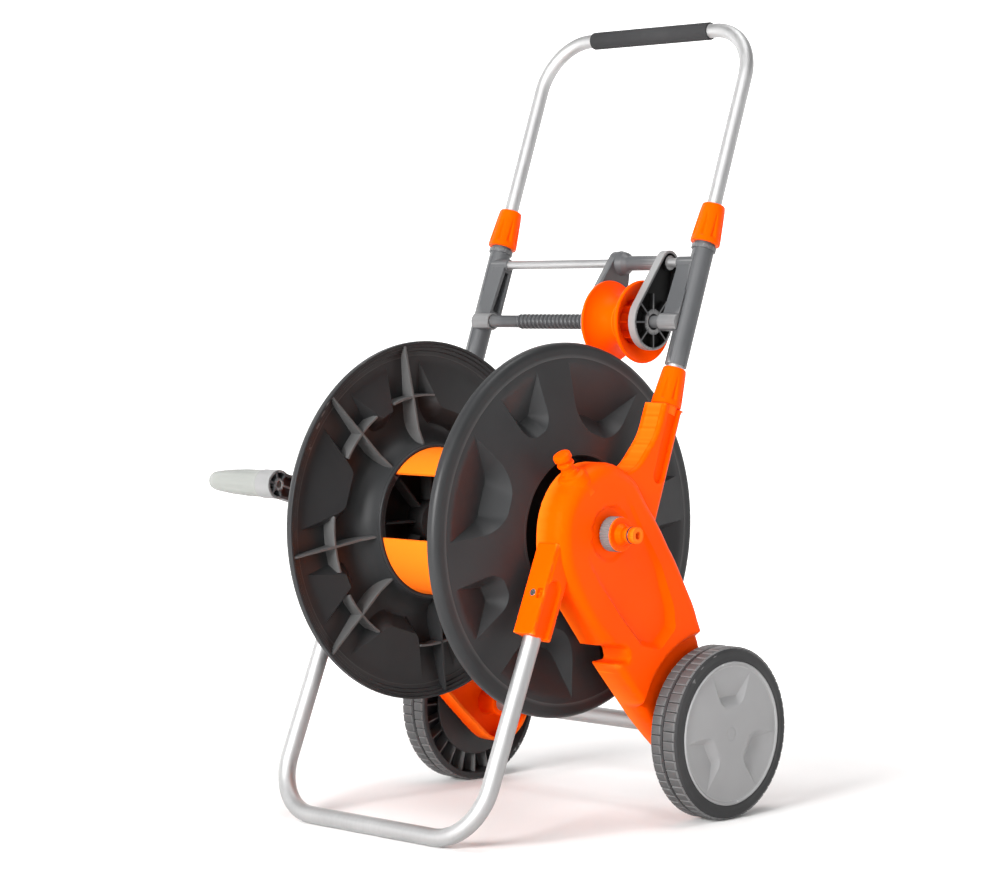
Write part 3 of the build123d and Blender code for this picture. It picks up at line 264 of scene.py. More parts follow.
PLATE_FOOT, PLATE_TOP = line_of("guide_shaft"), line_of("guide_rod")


def plate_gap(spot):
    """How far inside the outline of a guide plate a place is."""
    steps = [k / 20 for k in range(21)]
    return max(31.0 - 17.5 * t - (spot - PLATE_FOOT.lerp(PLATE_TOP, t)).length for t in steps)


# painted shade in the hollow of the right guide plate
paint_hollow_shade("guide_frame_right", plate_gap, 108.5, 116.8)

# ---- mesh tools ---------------------------------------------------------------------------------
def rounded(corners, closed=True):
    """A line through corners (a, b, radius), each corner rounded by an arc of its radius."""
    line = []
    for i, (a, b, radius) in enumerate(corners):
        here = Vector((a, b))
        if radius == 0 or (not closed and i in (0, len(corners) - 1)):
            line.append(here)
            continue
        before = (Vector(corners[i - 1][:2]) - here).normalized()
        after = (Vector(corners[(i + 1) % len(corners)][:2]) - here).normalized()
        opening = before.angle(after)
        centre = here + (before + after).normalized() * radius / math.sin(opening / 2)
        start = here + before * radius / math.tan(opening / 2) - centre
        turn = math.copysign(math.pi - opening, start.y * before.x - start.x * before.y)
        steps = max(2, math.ceil(abs(turn) / math.radians(9)))
        for step in range(steps + 1):
            line.append(centre + Matrix.Rotation(turn * step / steps, 2) @ start)
    return line


def even(line, spacing, closed=True):
    """The same line with its long stretches divided, so that no two points are further apart than spacing."""
    out = []
    pairs = zip(line, line[1:] + line[:1]) if closed else zip(line, line[1:])
    for start, end in pairs:
        count = max(1, math.ceil((end - start).length / spacing))
        out.extend(start.lerp(end, k / count) for k in range(count))
    return out if closed else out + [line[-1]]


def level(height):
    """The same height at every place."""
    return lambda points: np.full(len(points), height)


def looped(line):
    """A closed line as an open one that ends where it starts."""
    return line + [line[0].copy()]


def wound_faces(steps, count):
    """Faces between neighbours of steps profiles, each a closed loop of count points."""
    faces = []
    for i in range(steps):
        j = (i + 1) % steps
        for k in range(count):
            m = (k + 1) % count
            faces.append((i * count + k, i * count + m, j * count + m, j * count + k))
    return faces


def ring(radius, centre=(0.0, 0.0), count=120):
    """A circle of points in the cross plane."""
    return [
        Vector((centre[0] + radius * math.cos(a), centre[1] + radius * math.sin(a)))
        for a in np.linspace(0, 2 * math.pi, count, endpoint=False)
    ]


def near(points, line):
    """For each point, how far the closed line is, and the nearest place on it."""
    starts = np.array([tuple(p) for p in line])
    spans = np.roll(starts, -1, axis=0) - starts
    best = np.full(len(points), 1e9)
    place = np.zeros_like(points)
    for start, span in zip(starts, spans):
        along = np.clip(((points - start) @ span) / max(span @ span, 1e-9), 0, 1)
        foot = start + along[:, None] * span
        gap = np.hypot(*(points - foot).T)
        closer = gap < best
        best[closer] = gap[closer]
        place[closer] = foot[closer]
    return best, place


def inside(points, loops):
    """Which points lie inside an odd number of the closed loops."""
    odd = np.zeros(len(points), bool)
    a, b = points[:, 0], points[:, 1]
    for loop in loops:
        corners = np.array([tuple(p) for p in loop])
        for (a0, b0), (a1, b1) in zip(corners, np.roll(corners, -1, axis=0)):
            if b0 != b1:
                odd ^= ((b0 > b) != (b1 > b)) & (a < (a1 - a0) * (b - b0) / (b1 - b0) + a0)
    return odd


def grid_dots(loops, spacing):
    """Triangular grid over the box of the first loop."""
    corners = np.array([tuple(p) for p in loops[0]])
    low, high = corners.min(0), corners.max(0)
    rows = np.arange(low[1], high[1], spacing * 0.866)
    columns = np.arange(low[0], high[0], spacing)
    return np.array([(a + spacing / 2 * (i % 2), b) for i, b in enumerate(rows) for a in columns])


def polar_dots(r_in, r_out, spacing):
    """Rings of staggered dots between two radii."""
    dots = []
    for i, r in enumerate(np.arange(r_in + spacing, r_out, spacing)):
        count = round(2 * math.pi * r / spacing)
        for k in range(count):
            turn = 2 * math.pi * (k + 0.5 * (i % 2)) / count
            dots.append((r * math.cos(turn), r * math.sin(turn)))
    return np.array(dots)


def mesh_plan(loops, lines, dots, keep_off):
    """Triangles over the region inside the loops, with edges along every loop and open line."""
    points, edges = [], []
    for line in loops + lines:
        start = len(points)
        points.extend(line)
        edges.extend((start + k, start + k + 1) for k in range(len(line) - 1))
        if line in loops:
            edges.append((len(points) - 1, start))
    fixed = np.array([tuple(p) for p in points])
    dots = dots[inside(dots, loops)]
    clear = np.array([np.hypot(*(fixed - dot).T).min() > keep_off for dot in dots])
    points = points + [Vector(dot) for dot in dots[clear]]
    flat, _, triangles, _, _, _ = delaunay_2d_cdt(points, edges, [], 0, 1e-5)
    flat = np.array([tuple(p) for p in flat])
    middles = np.array([flat[list(t)].mean(0) for t in triangles])
    kept = inside(middles, loops)
    return flat, [t for t, keep in zip(triangles, kept) if keep]


def rim_edges(triangles):
    """Edges that only one triangle has, in that triangle's order."""
    seen = {}
    for t in triangles:
        for a, b in zip(t, t[1:] + t[:1]):
            seen[(a, b)] = True
    return [(a, b) for a, b in seen if (b, a) not in seen]


class Shape:
    """Vertices in millimetres from the middle of the drum, and faces, gathered before a mesh is made."""

    def __init__(self):
        self.points = []
        self.faces = []

    def add(self, points, faces):
        start = len(self.points)
        self.points.extend(tuple(float(c) for c in p) for p in points)
        self.faces.extend(tuple(start + i for i in face) for face in faces)

    def mirrored(self):
        other = Shape()
        other.points = [(-x, y, z) for x, y, z in self.points]
        other.faces = [tuple(reversed(face)) for face in self.faces]
        return other

    def turned(self, profile, centre=(0.0, 0.0), steps=180):
        """A closed profile of (x, radius), turned about a line along X through centre (y, z)."""
        points = []
        for turn in np.linspace(0, 2 * math.pi, steps, endpoint=False):
            for x, r in profile:
                points.append((x, centre[0] + r * math.cos(turn), centre[1] + r * math.sin(turn)))
        self.add(points, wound_faces(steps, len(profile)))

    def plate(self, plan, front, back, place=lambda a, b, h: (h, a, b)):
        """Closed plate over a plan, between the heights front(points) and back(points)."""
        flat, triangles = plan
        count = len(flat)
        points = [place(a, b, h) for (a, b), h in zip(flat, front(flat))]
        points += [place(a, b, h) for (a, b), h in zip(flat, back(flat))]
        faces = list(triangles) + [tuple(count + i for i in reversed(t)) for t in triangles]
        faces += [(b, a, count + a, count + b) for a, b in rim_edges(triangles)]
        self.add(points, faces)

    def strip(self, line, thick, low, high):
        """Upright rib along a line of (y, z): x runs from low(points) to high(points)."""
        flat = np.array([tuple(p) for p in line])
        along = np.gradient(flat, axis=0)
        along /= np.hypot(*along.T)[:, None]
        side = np.stack([-along[:, 1], along[:, 0]], 1) * thick / 2
        tops = high(flat)
        lows = low(flat)
        points = []
        for (y, z), (dy, dz), top, base in zip(flat, side, tops, lows):
            points += [(base, y + dy, z + dz), (base, y - dy, z - dz)]
            points += [(top, y - dy, z - dz), (top, y + dy, z + dz)]
        faces = [(3, 2, 1, 0)]
        for i in range(len(flat) - 1):
            for k in range(4):
                m = (k + 1) % 4
                faces.append((4 * i + k, 4 * i + m, 4 * i + 4 + m, 4 * i + 4 + k))
        last = 4 * len(flat) - 4
        faces.append((last, last + 1, last + 2, last + 3))
        self.add(points, faces)

    def piece(self, name, material, body, slot, nodes, sharp=34.0):
        """One object with this mesh, riding on a body in place of CAD nodes."""
        mesh = bpy.data.meshes.new(name)
        mesh.from_pydata([DRUM + Vector(p) * MM for p in self.points], [], self.faces)
        work = bmesh.new()
        work.from_mesh(mesh)
        bmesh.ops.remove_doubles(work, verts=work.verts, dist=1e-6)
        bmesh.ops.dissolve_degenerate(work, edges=work.edges, dist=1e-7)
        bmesh.ops.recalc_face_normals(work, faces=work.faces)
        work.to_mesh(mesh)
        work.free()
        mesh.materials.append(material)
        mesh.shade_smooth()
        mesh.set_sharp_from_angle(angle=math.radians(sharp))
        piece = bpy.data.objects.new(name, mesh)
        bpy.context.scene.collection.objects.link(piece)
        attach(piece, body)
        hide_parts(*nodes)
        return piece


# ---- scoops, pressed into the flanges and the hubcaps --------------------------------------------
class Scoop:
    """A pocket whose floor is a ramp, flush at the outer side, with one curved wall round the rest."""

    def __init__(self, half_out, half_in, r_out, r_in, corner, slope, wall, steep):
        self.r_out, self.r_in = r_out, r_in
        self.corner, self.slope, self.wall, self.steep = corner, slope, wall, steep
        half_out = math.radians(half_out)
        self.outer = r_out * np.array([math.cos(half_out), math.sin(half_out)])
        self.inner = np.array([r_in, r_in * math.tan(math.radians(half_in))])
        side = (self.outer - self.inner) / np.hypot(*(self.outer - self.inner))
        self.normal = np.array([side[1], -side[0]])

    def reach(self, p, q):
        """How far inside the wall's top edge a place is; p runs outwards and q across."""
        a = (p - self.inner[0]) * self.normal[0] + (np.abs(q) - self.inner[1]) * self.normal[1]
        a = a * self.steep
        b = p - self.r_in
        curved = self.corner - np.hypot(np.maximum(self.corner - a, 0), np.maximum(self.corner - b, 0))
        return np.where((a < self.corner) & (b < self.corner), curved, np.minimum(a, b))

    def floor(self, p, q):
        fall = np.maximum(self.r_out - np.hypot(p, q), 0)
        return self.slope * (np.sqrt(fall**2 + 9.0) - 3.0)

    def depth(self, p, q):
        return np.maximum(np.minimum(self.floor(p, q), self.wall * self.reach(p, q)), 0)

    def edge(self):
        """Half of the wall's top edge, from the outer corner to the middle line."""
        line = [self.outer]
        turns = np.linspace(math.pi / 2, 0, 9)
        bend = [(self.corner * (1 - math.sin(t)), self.corner * (1 - math.cos(t))) for t in turns]
        for a, b in [(0, self.corner)] + bend:
            p = b + self.r_in
            q = self.inner[1] + (a / self.steep - (p - self.inner[0]) * self.normal[0]) / self.normal[1]
            line.append(np.array([p, q]))
        line.append(np.array([self.r_in, 0.0]))
        return even([Vector(p) for p in line], 3.0, closed=False)

    def crease(self):
        """Half of the line where floor and wall meet."""
        line = [Vector(self.outer)]
        for p, q in self.edge()[1:]:
            step = 0.05
            here = self.reach(p + step, q)
            ahead, aside = self.reach(p + 2 * step, q), self.reach(p + step, q + step)
            slope = np.array([ahead - here, aside - here]) / step
            if q < 1e-6:
                slope = np.array([1.0, 0.0])
            slope /= np.hypot(*slope)
            low, high = 0.0, 60.0
            for _ in range(40):
                t = (low + high) / 2
                a, b = p + slope[0] * t, q + slope[1] * t
                if self.floor(a, b) > self.wall * self.reach(a, b):
                    low = t
                else:
                    high = t
            spot = Vector((p + slope[0] * low, max(q + slope[1] * low, 0.0)))
            if (spot - line[-1]).length > 0.8:
                line.append(spot)
        line[-1].y = 0.0
        return line

    def lines(self, mid):
        """Top edge and crease, both halves, turned to the angle mid in the cross plane."""
        turn = Matrix.Rotation(math.radians(mid), 2)
        out = []
        for half in (self.edge(), self.crease()):
            whole = half + [Vector((p, -q)) for p, q in reversed(half[:-1])]
            out.append([turn @ spot for spot in whole])
        out[1] = out[1][1:-1]
        return out


def scoop_depth(points, scoops, repeats, centre=(0.0, 0.0)):
    depth = np.zeros(len(points))
    y, z = points[:, 0] - centre[0], points[:, 1] - centre[1]
    for scoop, mid in scoops:
        for k in range(repeats):
            turn = math.radians(mid) + 2 * math.pi * k / repeats
            p, q = y * math.cos(turn) + z * math.sin(turn), z * math.cos(turn) - y * math.sin(turn)
            depth = np.maximum(depth, np.where(p > 0, scoop.depth(p, q), 0))
    return depth


# ---- drum flanges --------------------------------------------------------------------------------
FLANGE_LOW, FLANGE_HIGH = node_box("right_flange")
FLANGE_R = FLANGE_HIGH.y
FLANGE_RIM_X = 116.0
HUB_TOP = FLANGE_HIGH.x
HUB_R, FACE_R = 81.0, 185.0
WEB = 3.2
COLLAR_END = FLANGE_LOW.x
DOME = np.polyfit([HUB_R, 115.0, FACE_R + 1], [HUB_TOP, 124.6, FLANGE_RIM_X], 2)
FLANGE_SCOOPS = [
    (Scoop(18.6, 15.5, 180.0, 105.5, 27.0, 0.41, 1.02, 1.35), 72.3),
    (Scoop(9.8, 9.0, 178.0, 116.5, 17.0, 0.42, 1.02, 1.25), 116.8),
]
COVE, COVE_FLOOR = 29.0, 120.2
COVE_MID = 86.2 + COVE
RIB_ANGLES = (9.1, 44.9)
RIB_EDGE = ((85, 93), (105, 99), (140, 101), (165, 103), (197, 105))      # radius, x of the rib's edge
RING_RIB_R, RING_RIB_EDGE = 140, 101.5
RIB = 2.4


def flange_front(points):
    return np.polyval(DOME, np.hypot(*points.T)) - scoop_depth(points, FLANGE_SCOOPS, 4)


def flange_back(points):
    """Back of the web, with a wide cove down to the collar round the barrel."""
    inward = np.clip(COVE_MID - np.hypot(*points.T), 0, COVE)
    cove = COVE_FLOOR - COVE + np.sqrt(COVE**2 - inward**2)
    return np.minimum(flange_front(points) - WEB, cove)


def flange_rib_edge(points):
    radii, edges = zip(*RIB_EDGE)
    return np.interp(np.hypot(*points.T), radii, edges)


def flange_face(shape):
    """The domed web with its pockets."""
    lines = []
    for scoop, mid in FLANGE_SCOOPS:
        for k in range(4):
            lines.extend(scoop.lines(mid + 90 * k))
    loops = [ring(FACE_R, count=360), ring(HUB_R, count=180)]
    lines += [looped(ring(r, count=180)) for r in (86.2, 86.9, 88.4, 91.0, 94.5, 99.0)]
    plan = mesh_plan(loops, lines, polar_dots(HUB_R, FACE_R, 3.2), 1.6)
    shape.plate(plan, flange_front, flange_back)


def flange_rim(shape):
    """Rolled rim with its stepped inner side."""
    top = FLANGE_RIM_X + 0.25
    shape.turned(rounded([
        (top, FACE_R - 1.2, 0), (top, FLANGE_R, 7.5), (104.5, FLANGE_R, 0.8), (104.5, 197.3, 0.5),
        (107.0, 196.6, 0.4), (107.2, 193.6, 0.4), (109.4, 193.0, 0.4), (110.0, 189.4, 0.4),
        (111.6, 188.8, 0.4), (112.6, FACE_R - 1.2, 0),
    ]), steps=360)


def flange_hub(shape):
    """Collar round the barrel, disc inside it, hub on the spindle and the spokes between them."""
    shape.turned(rounded([
        (HUB_TOP, HUB_R, 0.6), (HUB_TOP - 0.4, HUB_R + 2.4, 0), (116.0, 86.2, 0), (COLLAR_END, 85.6, 1.4),
        (COLLAR_END, 82.2, 0.6), (94.0, 82.2, 0), (94.0, 72.0, 1.0), (112.0, 70.0, 3.0), (112.0, 14.0, 0),
        (115.0, 14.0, 0), (115.0, 76.0, 2.0), (HUB_TOP - 4, HUB_R - 1.0, 0.5),
    ]))
    hub = [(88.0, 12.3), (88.0, 22.0), (97.0, 24.0), (122.0, 20.0), (124.0, 19.0), (124.0, 12.3)]
    shape.turned(hub, steps=96)
    for k in range(8):
        turn = 2 * math.pi * k / 8
        radii = np.arange(20.0, 72.0, 4.0)
        spoke = [Vector((r * math.cos(turn), r * math.sin(turn))) for r in radii]
        shape.strip(spoke, RIB, level(96.0), level(113.0))


def flange_ribs(shape):
    """Radial ribs and a ring rib on the inner side."""
    def foot(spots):
        return flange_back(spots) + 1.5

    for angle in RIB_ANGLES:
        for k in range(4):
            turn = math.radians(angle + 90 * k)
            radii = np.arange(84.5, FLANGE_R - 2.5, 2.0)
            line = [Vector((r * math.cos(turn), r * math.sin(turn))) for r in radii]
            shape.strip(line, RIB, flange_rib_edge, foot)
    # the ring rib shows only between the backs of the pockets
    turns = np.radians(np.arange(0, 360, 1.5))
    circle = np.stack([RING_RIB_R * np.cos(turns), RING_RIB_R * np.sin(turns)], 1)
    room = flange_back(circle) - RING_RIB_EDGE
    run = []
    for spot, gap in zip(np.concatenate([circle, circle]), np.concatenate([room, room])):
        if gap > 2.0:
            run.append(Vector(spot))
        elif run:
            if len(run) > 3 and (run[0] - Vector(circle[0])).length > 1e-6:
                shape.strip(run, RIB, level(RING_RIB_EDGE), foot)
            run = []


def right_flange():
    shape = Shape()
    flange_face(shape)
    flange_rim(shape)
    flange_hub(shape)
    flange_ribs(shape)
    return shape


FLANGE = right_flange()
FLANGE_PIECES = (
    FLANGE.piece("flange_right", BLACK, "drum", "black_plastic", ["right_flange"]),
    FLANGE.mirrored().piece("flange_left", BLACK, "drum", "black_plastic", ["left_flange"]),
)
for flange in FLANGE_PIECES:
    # painted shade: the faces inside the barrel's hollow get the near-black painted-shade material
    flange.data.materials.append(PAINTED_SHADE_DARK)
    for face in flange.data.polygons:
        x, y, z = local(face.center)
        if math.hypot(y, z) < 72.5 and abs(x) < 119:
            face.material_index = 1


# ---- side panels ---------------------------------------------------------------------------------
PANEL_IN = node_box("right_side_panel")[0].x
PANEL_OUT = 176.0
PANEL_WALL = 3.4
AXLE_SPOT = np.array([(AXLE - DRUM).y, (AXLE - DRUM).z]) / MM
POCKET_R, POCKET_X = 110.0, 166.5
DISH_R, DISH_DEEP = 30.0, 2.6
MAST_FOOT = np.array([61.4, 0.0])
MAST_UP = np.array([MAST_DIR.y, MAST_DIR.z])
MAST_BACK = np.array([MAST_DIR.z, -MAST_DIR.y])
LEG_MOUTH = np.array([-97.0, -103.6])
LEG_UP = np.array([math.sin(math.radians(22.34)), math.cos(math.radians(22.34))])
LEG_BACK = np.array([LEG_UP[1], -LEG_UP[0]])
MAST_MOUTH, NECK_END = 137.5, 160.0        # along the mast: end of the socket and of its neck
TUNNEL_LOW, TUNNEL_HIGH, TUNNEL_HALF = 145.8, 165.1, 9.7

# corners of the head and band: y, z, corner radius; then how round the outer edge is there
BODY_CORNERS = [
    (32.0, 74.5, 58.0, 17.0), (-74.5, 74.5, 74.0, 18.0), (-74.5, -36.4, 70.0, 17.0),
    (-7.5, -118.0, 1.2, 15.0),
    (12.0, -119.4, 6.0, 6.0), (26.0, -123.0, 6.0, 4.0), (30.5, -137.0, 4.0, 4.0), (10.0, -138.6, 1.0, 5.0),
    (19.0, -149.0, 3.0, 9.0), (69.0, -204.0, 60.0, 9.0), (92.0, -226.0, 90.0, 9.0),
    (125.5, -255.0, 40.0, 7.0), (154.5, -281.8, 43.0, 5.0), (213.3, -234.1, 43.0, 5.0),
    (153.0, -128.4, 60.0, 5.0), (135.0, -84.4, 80.0, 6.0),
    (109.0, -40.0, 120.0, 7.0), (83.5, -2.0, 120.0, 8.0), (52.0, 43.0, 40.0, 12.0),
]
EMBOSS = [
    (21.0, 43.0, 6.0), (79.0, -38.0, 60.0), (100.0, -84.0, 22.0), (103.0, -108.0, 10.0), (78.0, -129.0, 12.0),
    (48.0, -122.0, 12.0), (19.0, -93.0, 60.0), (-21.0, -47.0, 60.0), (-38.0, -20.0, 6.0),
]
EMBOSS_TOP = np.array([(-38.0, -20.0), (21.0, 43.0)])
EMBOSS_LINE = even(rounded(EMBOSS), 3.0)


PANEL_RIBS = (
    ((0, -34), (118, -196)), ((-46, -52), (60, 31.5)), ((-12, -98), (104, -26)), ((24, -140), (128, -78)),
    ((62, -184), (148, -124)), ((44, -158), (84, -20)), ((-58, 14), (-30, 8)), ((30, 8), (52, 20)),
)


def smooth_step(value):
    value = np.clip(value, 0, 1)
    return value * value * (3 - 2 * value)


def edge_drop(gap, radius):
    """How far a face has fallen, gap away from its outline, where its edge is rounded to radius."""
    inset = np.clip(radius - gap, 0, radius)
    return radius - np.sqrt(np.maximum(radius**2 - inset**2, 0))


BODY_OUTLINE = even(rounded([corner[:3] for corner in BODY_CORNERS]), 3.0)


def body_edge_radius(places):
    """Radius of the outer edge at some places: the corners' radii, mixed by distance."""
    corners = np.array([corner[:2] for corner in BODY_CORNERS])
    radii = np.array([corner[3] for corner in BODY_CORNERS])
    gaps = np.hypot(places[:, :1] - corners[:, 0], places[:, 1:] - corners[:, 1])
    weights = 1 / (gaps**2.5 + 20)
    return (weights * radii).sum(1) / weights.sum(1)


def body_front(points):
    """Outer face of the head and band."""
    gap, foot = near(points, BODY_OUTLINE)
    height = PANEL_OUT - edge_drop(gap, body_edge_radius(foot))
    # raised sides round a shallow, sloping hollow below the tap inlet
    hollow_gap, _ = near(points, EMBOSS_LINE)
    across_top = EMBOSS_TOP[1] - EMBOSS_TOP[0]
    across_top = across_top / np.hypot(*across_top)
    below = (points - EMBOSS_TOP[0]) @ np.array([across_top[1], -across_top[0]])
    hollow = np.minimum(1.15 * hollow_gap, 0.055 * np.maximum(below, 0))
    height -= np.where(inside(points, [EMBOSS_LINE]), hollow, 0)
    # dish round the inlet
    out = np.hypot(*points.T)
    dish = DISH_DEEP * smooth_step((DISH_R - out) / 3.0)
    height = np.minimum(height, np.where(out < DISH_R, PANEL_OUT - 0.8 - dish, 1e9))
    # step in behind the wheel
    wheel_gap = POCKET_R - np.hypot(*(points - AXLE_SPOT).T)
    pocket = (PANEL_OUT - POCKET_X) * smooth_step(wheel_gap / 7.0)
    return np.maximum(height - pocket, PANEL_IN + 8)


def tucked(points):
    """Places for the back of the shell: those near the outline move in by the wall's thickness."""
    gap, foot = near(points, BODY_OUTLINE)
    inward = (points - foot) / np.maximum(gap, 1e-6)[:, None]
    on_edge = gap < 1e-3
    if on_edge.any():
        middle = points[on_edge]
        line = np.array([tuple(p) for p in BODY_OUTLINE])
        tangent = np.roll(line, -1, axis=0) - np.roll(line, 1, axis=0)
        tangent /= np.hypot(*tangent.T)[:, None]
        nearest = np.array([np.hypot(*(line - spot).T).argmin() for spot in middle])
        side = np.stack([-tangent[nearest, 1], tangent[nearest, 0]], 1)
        probe = inside(middle + side * 0.05, [BODY_OUTLINE])
        side[~probe] *= -1
        inward[on_edge] = side
    return points + inward * (PANEL_WALL * np.clip(1 - gap / 9.0, 0, 1))[:, None]


def runs_inside(line, loops, margin):
    """Stretches of a closed line that stay inside the loops by a margin."""
    spots = np.array([tuple(p) for p in line])
    gap = np.min([near(spots, loop)[0] for loop in loops], axis=0)
    fine = inside(spots, loops) & (gap > margin)
    if fine.all():
        return [line + [line[0].copy()]]
    first = next(i for i in range(len(line)) if not fine[i])
    runs, run = [], []
    for k in range(len(line) + 1):
        i = (first + k) % len(line)
        if fine[i]:
            run.append(line[i])
        elif run:
            runs.append(run)
            run = []
    return [run for run in runs if len(run) > 1]


def tube_room(points):
    """Which places lie over the mast tube, where the shell leaves room for it."""
    off = points - MAST_FOOT
    return (np.abs(off @ MAST_BACK) < 11.0) & (off @ MAST_UP > 12.0)


def body_plan():
    """Plan of the head and band, with edges along every crease of the outer face."""
    lines = []
    for radius in (POCKET_R, POCKET_R - 7.0):
        lines += runs_inside(ring(radius, AXLE_SPOT, 240), [BODY_OUTLINE], 1.0)
    lines += [looped(ring(DISH_R, count=90)), looped(ring(DISH_R - 3.0, count=90)), looped(EMBOSS_LINE)]
    return mesh_plan([BODY_OUTLINE], lines, grid_dots([BODY_OUTLINE], 2.6), 1.3)


def body_shell(shape):
    """Hollow head and band, open towards the drum, with a notch in the wall where the mast tube passes."""
    flat, triangles = body_plan()
    count = len(flat)
    front, behind = body_front(flat), tucked(flat)
    back = np.maximum(np.minimum(body_front(behind), front) - PANEL_WALL, PANEL_IN + 5)
    low = np.full(count, PANEL_IN)
    open_way = tube_room(flat) | tube_room(behind)
    low[open_way] = np.minimum(front[open_way] - 0.3, TUNNEL_HIGH + 0.1)
    back[open_way] = np.maximum(back[open_way], low[open_way])
    # outer face, its back, then the outer and the inner lower edge of the wall
    points = []
    for heights, places in ((front, flat), (back, behind), (low, flat), (low, behind)):
        points += [(x, y, z) for x, (y, z) in zip(heights, places)]
    faces = list(triangles) + [tuple(count + i for i in reversed(t)) for t in triangles]
    for a, b in rim_edges(triangles):
        faces += [
            (b, a, 2 * count + a, 2 * count + b), (a + count, b + count, 3 * count + b, 3 * count + a),
            (2 * count + b, 2 * count + a, 3 * count + a, 3 * count + b),
        ]
    used = sorted({i for face in faces for i in face})
    place = {old: new for new, old in enumerate(used)}
    shape.add([points[i] for i in used], [tuple(place[i] for i in face) for face in faces])


def capsule(middle, half, start, end):
    """Outline of a long slot with round ends, in (n, s)."""
    turns = np.linspace(0, math.pi, 13)
    line = [Vector((middle + half * math.cos(t), end - half + half * math.sin(t))) for t in turns]
    line += [Vector((middle - half * math.cos(t), start + half - half * math.sin(t))) for t in turns]
    return even(line, 2.5)


def beyond(line, limit):
    """The part of a closed outline past the line n = limit, seen from n = 0."""
    def past(spot):
        return spot.x * math.copysign(1.0, limit) >= abs(limit)

    out = []
    for here, after in zip(line, line[1:] + line[:1]):
        if past(here):
            out.append(here)
        if past(here) != past(after):
            out.append(here.lerp(after, (limit - here.x) / (after.x - here.x)))
    return out


class Limb:
    """Socket of the panel, drawn in (n, s): s runs along its tube from a foot, and n across it."""

    def __init__(self, corners, foot, up, back, top, edges, slot, slot_deep):
        self.outline = even(rounded(corners), 3.0)
        self.foot, self.up, self.back = foot, up, back
        self.top, self.edges, self.slot, self.slot_deep = top, edges, slot, slot_deep

    def place(self, n, s, x):
        y, z = self.foot + s * self.up + n * self.back
        return (x, y, z)

    def plan(self):
        middle, half, start, end = self.slot
        lines = []
        for shrink in (0.0, 1.1):
            lines += runs_inside(capsule(middle, half - shrink, start, end), [self.outline], 0.8)
        return mesh_plan([self.outline], lines, grid_dots([self.outline], 2.0), 0.7)

    def front(self, points):
        """Outer face: rounded edges, nearly sharp at the mast's mouth, and a long slot sunk in it."""
        middle, half, start, end = self.slot
        gap, nearest = near(points, self.outline)
        radius = np.where(nearest[:, 0] > middle, self.edges[1], self.edges[0])
        radius = np.where(nearest[:, 1] > MAST_MOUTH - 0.5, 0.6, radius)
        along = np.clip(points[:, 1], start + half, end - half)
        off = np.hypot(points[:, 0] - middle, points[:, 1] - along)
        sunk = self.slot_deep * np.clip((half - off) / 1.1, 0, 1)
        return self.top - edge_drop(gap, radius) - sunk


def mast_socket(shape):
    """Arm with a tunnel for the mast tube, flared into the head at its front."""
    corners = [
        (-18.0, MAST_MOUTH, 0.8), (-18.5, 100.0, 60.0), (-36.0, 58.0, 40.0), (-62.0, 40.0, 0), (4.0, -4.0, 0),
        (14.0, 14.0, 2.0), (14.0, MAST_MOUTH, 0.8),
    ]
    limb = Limb(
        corners, MAST_FOOT, MAST_UP, MAST_BACK, 170.6, (3.0, 7.0), (-1.5, 8.8, 52.0, 160.0), 5.1
    )
    plan = limb.plan()
    # covers on both faces of the tube, and a wall on each side of it
    shape.plate(
        plan, limb.front, lambda points: np.minimum(limb.front(points) - 0.35, TUNNEL_HIGH), limb.place
    )
    shape.plate(plan, level(TUNNEL_LOW), level(141.5), limb.place)
    for limit in (-TUNNEL_HALF, TUNNEL_HALF):
        wall = beyond(limb.outline, limit)
        wall_plan = mesh_plan([wall], [], grid_dots([wall], 4.0), 2.0)
        shape.plate(wall_plan, level(TUNNEL_HIGH + 0.15), level(TUNNEL_LOW - 0.15), limb.place)


def leg_socket(shape):
    """Solid socket of the front leg."""
    corners = [(-13.0, 0.0, 0.3), (13.5, 0.0, 0.8), (13.5, 104.0, 0), (-13.0, 98.0, 0)]
    limb = Limb(corners, LEG_MOUTH, LEG_UP, LEG_BACK, 169.8, (1.0, 3.0), (-3.0, 10.0, -20.0, 62.0), 4.3)
    shape.plate(limb.plan(), limb.front, level(141.8), limb.place)


def corners_of(low, high):
    """Corners of a rectangle."""
    return [Vector(p) for p in (low, (high[0], low[1]), high, (low[0], high[1]))]


def leg_front(shape):
    """Front plate of the leg socket, with a small H-shaped hollow beside the screw."""
    outline = even(corners_of((142.0, 0.2), (169.2, 98.0)), 3.0)
    hollow = corners_of((160.5, 38.5), (168.0, 49.0))
    floor = corners_of((161.1, 39.1), (167.4, 48.4))
    bar = corners_of((162.2, 42.5), (167.4, 45.2))
    lines = [looped(even(line, 2.0)) for line in (hollow, floor, bar)]
    plan = mesh_plan([outline], lines, grid_dots([outline], 2.0), 0.5)

    def front(points):
        height = 17.4 - edge_drop(near(points, outline)[0], 0.8)
        gap, _ = near(points, hollow)
        sunk = 3.0 * np.clip(gap / 0.6, 0, 1) * inside(points, [hollow])
        return height - np.where(inside(points, [bar]), 0.2, sunk)

    def place(x, s, h):
        y, z = LEG_MOUTH + s * LEG_UP - h * LEG_BACK
        return (x, y, z)

    shape.plate(plan, front, level(12.0), place)


